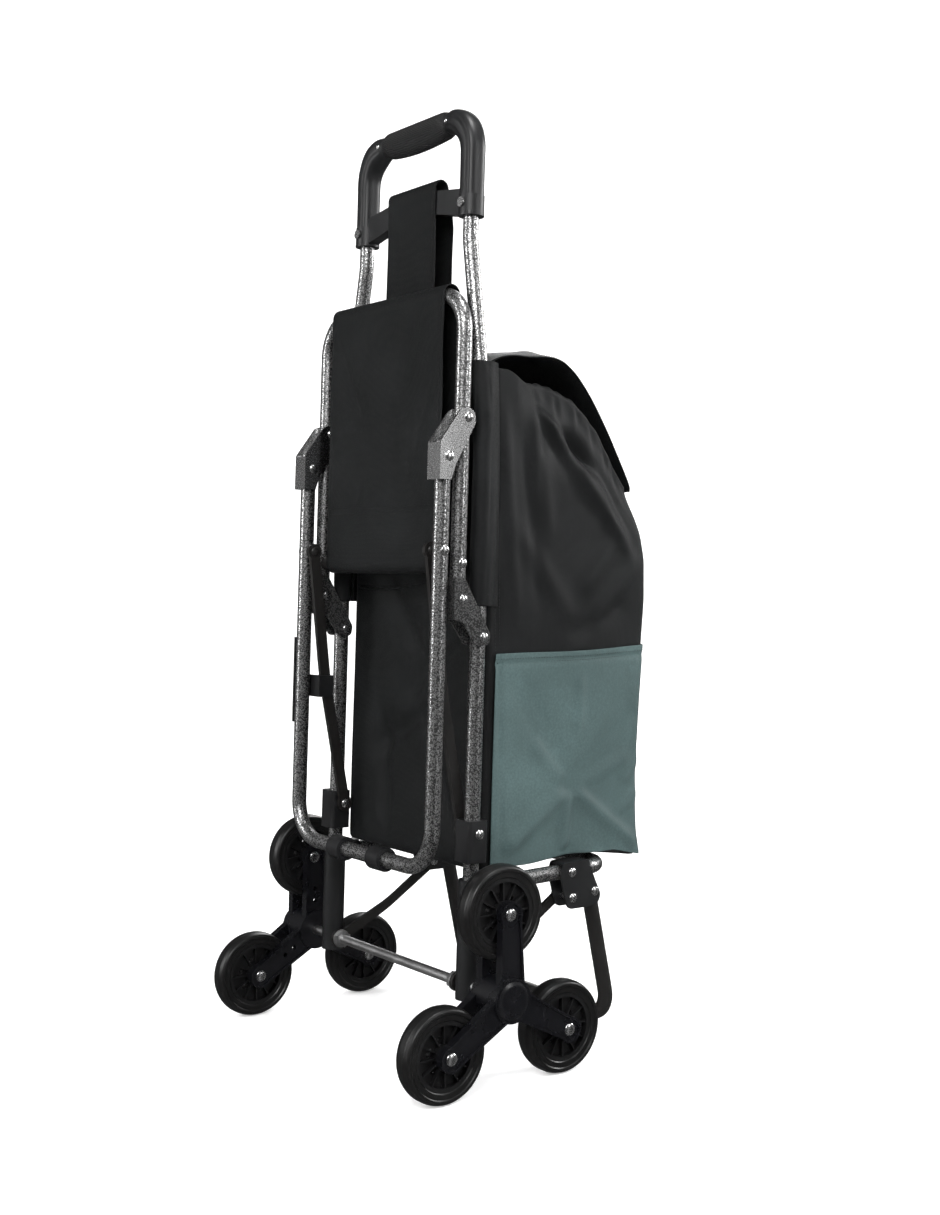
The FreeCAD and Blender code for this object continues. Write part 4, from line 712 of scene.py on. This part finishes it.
def make_seat_fabric():
    """Sling round the seat's front tube and rear bar, with bound side edges and a cross seam."""
    reach = 9.6
    low, high = 421.0, 692.0
    loop = flat_loop(SEAT_N, reach, low, high)
    x = np.concatenate([[-SEAT_HALF, -104.8], steps(-101, 101, 36), [104.8, SEAT_HALF]])[None, :]
    n, s = loop[:, :1], loop[:, 1:]
    between = np.clip((s - low) / 40, 0, 1) * np.clip((high - s) / 40, 0, 1)
    middle = 1 - (x / SEAT_HALF) ** 2
    front = np.where(n < SEAT_N, 1.0, -1.0)
    sag = 3.2 * between * middle * front
    ripple = 0.8 * np.sin(x / 21 + s / 90) * between
    ripple = ripple + 0.7 * np.sin(s / 19 + x / 45) * between * (x / SEAT_HALF) ** 2
    ripple += crease(x, s, (-100, 680), (-30, 560), 9, 1.4) + crease(x, s, (100, 640), (40, 500), 9, 1.4)
    ripple += crease(x, s, (-95, 440), (-20, 520), 8, 1.2) + crease(x, s, (60, 680), (20, 600), 9, 1.0)
    seam = 2.0 * bell(s - 479.0, 2.4) - 1.6 * bell(s - 474.5, 1.5)
    edge = 0.6 * bell(np.abs(x) - 99.0, 1.5)
    n = n + sag + ripple * front * 0.9 + (seam + edge) * front
    wander = 0.8 * np.sin(s / 41) * np.sign(x) * np.abs(x / SEAT_HALF) ** 6
    piece = cloth_piece("seat_sling", leaned(x + wander, n, s), MATERIALS["black_cloth"])
    close_loop(piece, len(loop), x.shape[1])
    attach(piece, "seat")
    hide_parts("seat_fabric")
    xs = steps(-103, 103, 60)
    on_sling = SEAT_N - reach - 1.0 + 3.2 * (1 - (xs / SEAT_HALF) ** 2)
    for offset, label in ((-2.4, "low"), (2.8, "high")):
        line = leaned(xs, on_sling, SEAT_SEAM + offset)
        stitches(f"sling_seam_{label}", line, (0, 0, 0), "seat")
    for side in (-1, 1):
        heights = steps(432, 690, 90)
        line = leaned(side * 100.5, SEAT_N - reach - 0.9, heights)
        stitches(f"sling_hem_{'left' if side < 0 else 'right'}", line, (0, 0, 0), "seat")


def close_loop(piece, rows, columns):
    """Joins the last row of a grid to its first, so that the loop has no gap."""
    mesh = bmesh.new()
    mesh.from_mesh(piece.data)
    mesh.verts.ensure_lookup_table()
    for column in range(columns - 1):
        corners = ((rows - 1) * columns + column, (rows - 1) * columns + column + 1, column + 1, column)
        face = mesh.faces.new([mesh.verts[i] for i in corners])
        face.smooth = True
    bmesh.ops.recalc_face_normals(mesh, faces=mesh.faces)
    mesh.to_mesh(piece.data)
    mesh.free()


STRAP_HALF = 44.0
STRAP_REACH = 8.1        # from the crossbar's middle to each ply
STRAP_FOOT = 626.0


def make_strap():
    """Webbing loop from the bag's back over the handle's crossbar."""
    crown = (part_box("bag_strap")[1][2] - axle_z) / MM / LEAN_COS
    reach, foot = STRAP_REACH, STRAP_FOOT
    top = crown - reach - 0.4
    sides = steps(foot, top, 44)
    loop = [(-reach, s) for s in sides]
    loop += [(-reach * math.cos(a), top + reach * math.sin(a)) for a in steps(0, math.pi, 14)[1:-1]]
    loop += [(reach, s) for s in sides[::-1]]
    loop = np.array(loop)
    n, s = loop[:, :1], loop[:, 1:]
    x = np.concatenate([[-STRAP_HALF, -43.2], steps(-40.5, 40.5, 18), [43.2, STRAP_HALF]])[None, :]
    front = np.where(n < 0, -1.0, 1.0)
    lower = np.clip((top - s) / 60, 0, 1)
    ripple = 0.9 * np.sin(s / 33 + x / 50) * lower + 0.5 * np.sin(x / 15) * lower
    bulge = 2.0 * np.sin((s - foot) / (top - foot) * math.pi) * np.clip((s - foot) / 80, 0, 1)
    stand_off = 9.0 * np.clip((s - 664) / 40, 0, 1) * np.clip((top - s) / 40, 0, 1) ** 0.7 * (n > 0)
    n = n + front * (ripple * 0.6 - bulge * 0.6) - 0.3 * bell(np.abs(x) - 39.0, 1.0) * front + stand_off
    piece = cloth_piece("hanging_strap", leaned(x, n, s), MATERIALS["black_cloth"],
                        thick=1.4)
    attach(piece, "frame")
    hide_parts("bag_strap")
    heights = steps(foot + 4, top - 4, 80)
    for side in (-1, 1):
        line = leaned(side * 40.6, -reach - 0.9, heights)
        stitches(f"strap_stitches_{'left' if side < 0 else 'right'}", line, (0, 0, 0), "frame")


# ---------------------------------------------------------------- moulded pieces

def ring_sweep(name, centres, frames, section, material, capped=True):
    """Skin of a section carried along centres; section(index) gives its (side, up) points in mm."""
    rows = []
    for index, (centre, (side, up)) in enumerate(zip(centres, frames)):
        outline = section(index)
        rows.append([centre + Vector(side) * a * MM + Vector(up) * b * MM for a, b in outline])
    count = len(rows[0])
    points = [tuple(p) for row in rows for p in row]
    faces = []
    for row in range(len(rows) - 1):
        for column in range(count):
            following = (column + 1) % count
            faces.append((row * count + column, row * count + following,
                          (row + 1) * count + following, (row + 1) * count + column))
    if capped:
        faces.append(tuple(range(count))[::-1])
        faces.append(tuple((len(rows) - 1) * count + column for column in range(count)))
    mesh = bpy.data.meshes.new(name)
    mesh.from_pydata(points, [], faces)
    fixed = bmesh.new()
    fixed.from_mesh(mesh)
    bmesh.ops.recalc_face_normals(fixed, faces=fixed.faces)
    fixed.to_mesh(mesh)
    fixed.free()
    mesh.polygons.foreach_set("use_smooth", [True] * len(mesh.polygons))
    mesh.set_sharp_from_angle(angle=math.radians(50))
    mesh.materials.append(material)
    piece = bpy.data.objects.new(name, mesh)
    scene.collection.objects.link(piece)
    return piece


GRIP_HALF = 57.0
GRIP_RIBS = 44


def make_grip():
    """Ribbed sleeve on the top bar, swollen on the underside for the fingers."""
    low, high = (Vector(corner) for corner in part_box("handle_grip"))
    centre_s = ((low.z + high.z) / 2 - axle_z) / MM / LEAN_COS
    reach = steps(-GRIP_HALF, GRIP_HALF, 49)
    across, up = lean(0, 1, 0) - lean(0, 0, 0), lean(0, 0, 1) - lean(0, 0, 0)
    across, up = across.normalized(), up.normalized()
    centres = [lean(x, 0, centre_s) for x in reach]
    turns = steps(0, 2 * math.pi, GRIP_RIBS * 6 + 1)[:-1]

    def section(index):
        share = reach[index] / GRIP_HALF
        taper = 1.0 - 0.16 * max(0.0, abs(share) - 0.86) / 0.14
        ribbed = min(1.0, (1 - abs(share)) / 0.1)
        outline = []
        for turn in turns:
            rib = 0.28 * math.cos(turn * GRIP_RIBS) * ribbed
            radius = 13.4 * taper + rib
            belly = max(0.0, -math.sin(turn)) ** 1.5 * 4.6 * max(0.0, 1 - share * share)
            outline.append((radius * math.cos(turn), (radius + belly) * math.sin(turn)))
        return outline

    grip = ring_sweep("ribbed_grip", centres, [(across, up)] * len(centres), section,
                      MATERIALS["grip_rubber"])
    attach(grip, "frame")
    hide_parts("handle_grip")


HANDLE_HALF = 96.5
HANDLE_BEND = 36.0
HANDLE_FOOT = 775.0
HANDLE_TOP = 878.5


def make_lid_tape():
    """Strip that stands up from the bag's back edge, towards the lid's edge."""
    x = steps(-111, 111, 45)[None, :]
    height = np.array([696.0, 700.0, 704.0, 707.0, 709.5, 711.0])[:, None]
    depth = np.array([42.6, 42.9, 43.6, 44.8, 46.2, 47.1])[:, None] + 0.3 * np.sin(x / 13)
    tape = cloth_piece("lid_seam_tape", placed(x, depth, height), MATERIALS["black_cloth"])
    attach(tape, "frame")


def make_back_hem():
    """Piped hem across the bag's back panel, below the seat."""
    reach = steps(-108, 108, 73)
    heights = 487 + 3.5 * np.sin(reach / 38) - 2 * (reach / 108) ** 2
    centres = [level(x, float(back_line(height)) - 0.9, height) for x, height in zip(reach, heights)]
    turns = steps(0, 2 * math.pi, 13)[:-1]

    def section(index):
        radius = 1.7 + 0.15 * math.sin(index * 1.7)
        return [(radius * math.cos(turn), radius * math.sin(turn)) for turn in turns]

    frames = [(Vector((0, 1, 0)), Vector((0, 0, 1)))] * len(centres)
    hem = ring_sweep("back_panel_hem", centres, frames, section, MATERIALS["black_cloth"])
    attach(hem, "frame")


GRIP_SCREW_X, GRIP_SCREW_N, GRIP_SCREW_S = 63.5, -11.9, 877.5


def make_grip_screws():
    """Small pan-head screw at each end of the grip, on the user's side."""
    across = (lean(0, 1, 0) - lean(0, 0, 0)).normalized()
    up = (lean(0, 0, 1) - lean(0, 0, 0)).normalized()
    profile = [(0.05, 1.5), (1.2, 1.4), (2.2, 0.9), (2.6, 0.2), (2.6, -1.2)]     # radius, rise
    turns = steps(0, 2 * math.pi, 21)[:-1]

    def section(index):
        radius = profile[index][0]
        return [(radius * math.cos(turn), radius * math.sin(turn)) for turn in turns]

    for name, side in (("left", -1), ("right", 1)):
        centre = lean(side * GRIP_SCREW_X, GRIP_SCREW_N, GRIP_SCREW_S)
        rings = [centre - across * rise * MM for _, rise in profile]
        frames = [(Vector((1, 0, 0)), up)] * len(rings)
        screw = ring_sweep(f"grip_screw_{name}", rings, frames, section, MATERIALS["chrome"])
        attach(screw, "frame")


def make_handle():
    """Moulded U handle: oval legs with two lengthwise ridges, thick shoulders and a lip at each foot."""
    foot, top = HANDLE_FOOT, HANDLE_TOP
    path = [(-HANDLE_HALF, s) for s in steps(foot, top - HANDLE_BEND, 26)]
    path += [(-HANDLE_HALF + HANDLE_BEND * (1 - math.cos(a)), top - HANDLE_BEND + HANDLE_BEND * math.sin(a))
             for a in steps(0, math.pi / 2, 16)[1:]]
    path += [(x, top) for x in steps(-HANDLE_HALF + HANDLE_BEND, 0, 10)[1:-1]]
    path += [(0.0, top)] + [(-x, s) for x, s in path[::-1]]
    path = np.array(path)
    way = np.gradient(path, axis=0)
    way = way / np.linalg.norm(way, axis=1)[:, None]
    across = (lean(0, 1, 0) - lean(0, 0, 0)).normalized()
    up = (lean(0, 0, 1) - lean(0, 0, 0)).normalized()
    centres = [lean(x, 0, s) for x, s in path]
    frames = [(Vector((wy, 0, 0)) - up * wx, across) for wx, wy in way]
    turns = steps(0, 2 * math.pi, 65)[:-1]

    def section(index):
        x, s = path[index]
        lip = 0.9 if s < foot + 5 and abs(x) > HANDLE_HALF - 1 else 0.0
        shoulder = float(bell(abs(x) - (HANDLE_HALF - 14), 16)) * float(bell(s - top, 30))
        in_bar = min(1.0, max(0.0, (HANDLE_HALF - HANDLE_BEND + 8 - abs(x)) / 8))
        outline = []
        for turn in turns:
            ca, sa = math.cos(turn), math.sin(turn)
            squared = 1.0 / (abs(ca) ** 2.6 + abs(sa) ** 2.6) ** (1 / 2.6)
            radius = 11.4 * squared * (1 - in_bar) + 11.0 * in_bar
            ridge = 0.8 * (bell(math.degrees(turn) % 180 - 62, 7) + bell(math.degrees(turn) % 180 - 118, 7))
            radius += lip + shoulder * 2.0 - float(ridge) * (1 - in_bar)
            outline.append((radius * ca, (radius + 0.5 * (1 - in_bar)) * sa))
        return outline

    handle = ring_sweep("moulded_handle", centres, frames, section,
                        MATERIALS["black_plastic"])
    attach(handle, "frame")
    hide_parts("handle")


make_handle()
make_grip()
make_grip_screws()
make_bag()
make_back_hem()
make_lid_tape()
make_band()
make_sleeves()
make_flap()
make_seat_fabric()
make_strap()

# ---------------------------------------------------------------- stage, lights and camera

def make_stage():
    """Pale floor that curves up into a backdrop all round."""
    outline = [(0.0, 0.0)]
    outline += [(3.2 + 0.8 * math.sin(a), 0.8 - 0.8 * math.cos(a))
                for a in np.linspace(0, math.pi / 2, 12)]
    outline.append((4.0, 5.0))
    sectors = 96
    vertices, faces = [], []
    for k in range(sectors):
        a = 2 * math.pi * k / sectors
        vertices += [(r * math.cos(a), r * math.sin(a), z) for r, z in outline]
    count = len(outline)
    for k in range(sectors):
        for i in range(count - 1):
            a, b = k * count + i, (k + 1) % sectors * count + i
            faces.append((a, b, b + 1, a + 1))
    mesh = bpy.data.meshes.new("floor")
    mesh.from_pydata(vertices, [], faces)
    mesh.polygons.foreach_set("use_smooth", [True] * len(mesh.polygons))
    floor = bpy.data.objects.new("floor", mesh)
    scene.collection.objects.link(floor)
    material, _, shader = node_material("pale_floor")
    shader.inputs["Base Color"].default_value = (0.92, 0.92, 0.92, 1)
    shader.inputs["Roughness"].default_value = 0.9
    shader.inputs["Emission Color"].default_value = (1, 1, 1, 1)
    shader.inputs["Emission Strength"].default_value = 0.3
    mesh.materials.append(material)
    floor.visible_glossy = False


def area_light(name, place, target, size, power):
    data = bpy.data.lights.new(name, "AREA")
    data.shape = "RECTANGLE"
    data.size, data.size_y = size
    data.energy = power
    light = bpy.data.objects.new(name, data)
    light.location = place
    light.rotation_euler = (Vector(target) - Vector(place)).to_track_quat("-Z", "Y").to_euler()
    scene.collection.objects.link(light)


# Upright strips of light round the object, as (compass degrees from +X, sharpness, strength).
STRIPS = [(-80, 40, 4.4), (8, 30, 3.4), (70, 24, 2.0), (150, 16, 1.4), (-150, 20, 1.8)]
DIM = 0.06
OVERHEAD = 1.1


def make_world():
    """Dim studio with tall soft strips round it and a bright ceiling."""
    world = bpy.data.worlds.new("studio")
    world.use_nodes = True
    tree = world.node_tree
    coords = add(tree, "ShaderNodeTexCoord").outputs["Generated"]
    flat = add(tree, "ShaderNodeVectorMath", operation="MULTIPLY")
    flat.inputs[1].default_value = (1, 1, 0)
    tree.links.new(coords, flat.inputs[0])
    level_way = add(tree, "ShaderNodeVectorMath", operation="NORMALIZE")
    tree.links.new(flat.outputs[0], level_way.inputs[0])
    total = DIM
    for degrees, sharpness, strength in STRIPS:
        towards = add(tree, "ShaderNodeVectorMath", operation="DOT_PRODUCT")
        angle = math.radians(degrees)
        towards.inputs[1].default_value = (math.cos(angle), math.sin(angle), 0)
        tree.links.new(level_way.outputs[0], towards.inputs[0])
        facing = math_node(tree, "MAXIMUM", towards.outputs["Value"], 0.0)
        strip = math_node(tree, "MULTIPLY", math_node(tree, "POWER", facing, sharpness), strength)
        total = math_node(tree, "ADD", strip, total)
    split = add(tree, "ShaderNodeSeparateXYZ")
    tree.links.new(coords, split.inputs[0])
    overhead = math_node(tree, "MULTIPLY", math_node(tree, "ABSOLUTE", split.outputs[2]), OVERHEAD)
    total = math_node(tree, "ADD", total, overhead)
    tree.links.new(total, tree.nodes["Background"].inputs["Strength"])
    scene.world = world


def make_lights():
    area_light("key", (1.6, -2.0, 2.2), (0, 0, 0.5), (1.2, 1.2), 52)
    area_light("side", (2.6, 1.0, 1.4), (0, 0, 0.5), (0.6, 1.6), 14)
    area_light("rake", (0.95, 2.7, 1.5), (0.1, 0, 0.5), (0.5, 0.9), 40)
    area_light("overhead", (0.75, 0.3, 2.7), (0.1, 0, 0.5), (0.5, 0.5), 22)
    area_light("rim", (-1.8, 1.9, 1.9), (0, 0, 0.6), (1.2, 1.6), 30)
    area_light("user_side", (-1.2, -2.4, 1.2), (0, 0, 0.5), (0.5, 1.8), 22)


def make_camera():
    yaw, pitch, roll = (math.radians(angle) for angle in (36.79, 2.18, -0.72))
    forward = Vector((-math.cos(yaw), math.sin(yaw), 0))
    right = Vector((math.sin(yaw), math.cos(yaw), 0))
    up = Vector((0, 0, 1))
    aim = forward * math.cos(pitch) - up * math.sin(pitch)
    top = up * math.cos(pitch) + forward * math.sin(pitch)
    side = right * math.cos(roll) + top * math.sin(roll)
    top = top * math.cos(roll) - right * math.sin(roll)
    data = bpy.data.cameras.new("camera")
    data.sensor_width = 36
    data.sensor_fit = "AUTO"
    data.lens = 45.42
    camera = bpy.data.objects.new("camera", data)
    turn = Matrix((side, top, -aim)).transposed()
    camera.matrix_world = Matrix.Translation((1.3514, axle_y - 0.9056, 0.5252)) @ turn.to_4x4()
    scene.collection.objects.link(camera)
    scene.camera = camera
    scene.view_settings.view_transform = "Standard"


make_stage()
make_world()
make_lights()
make_camera()
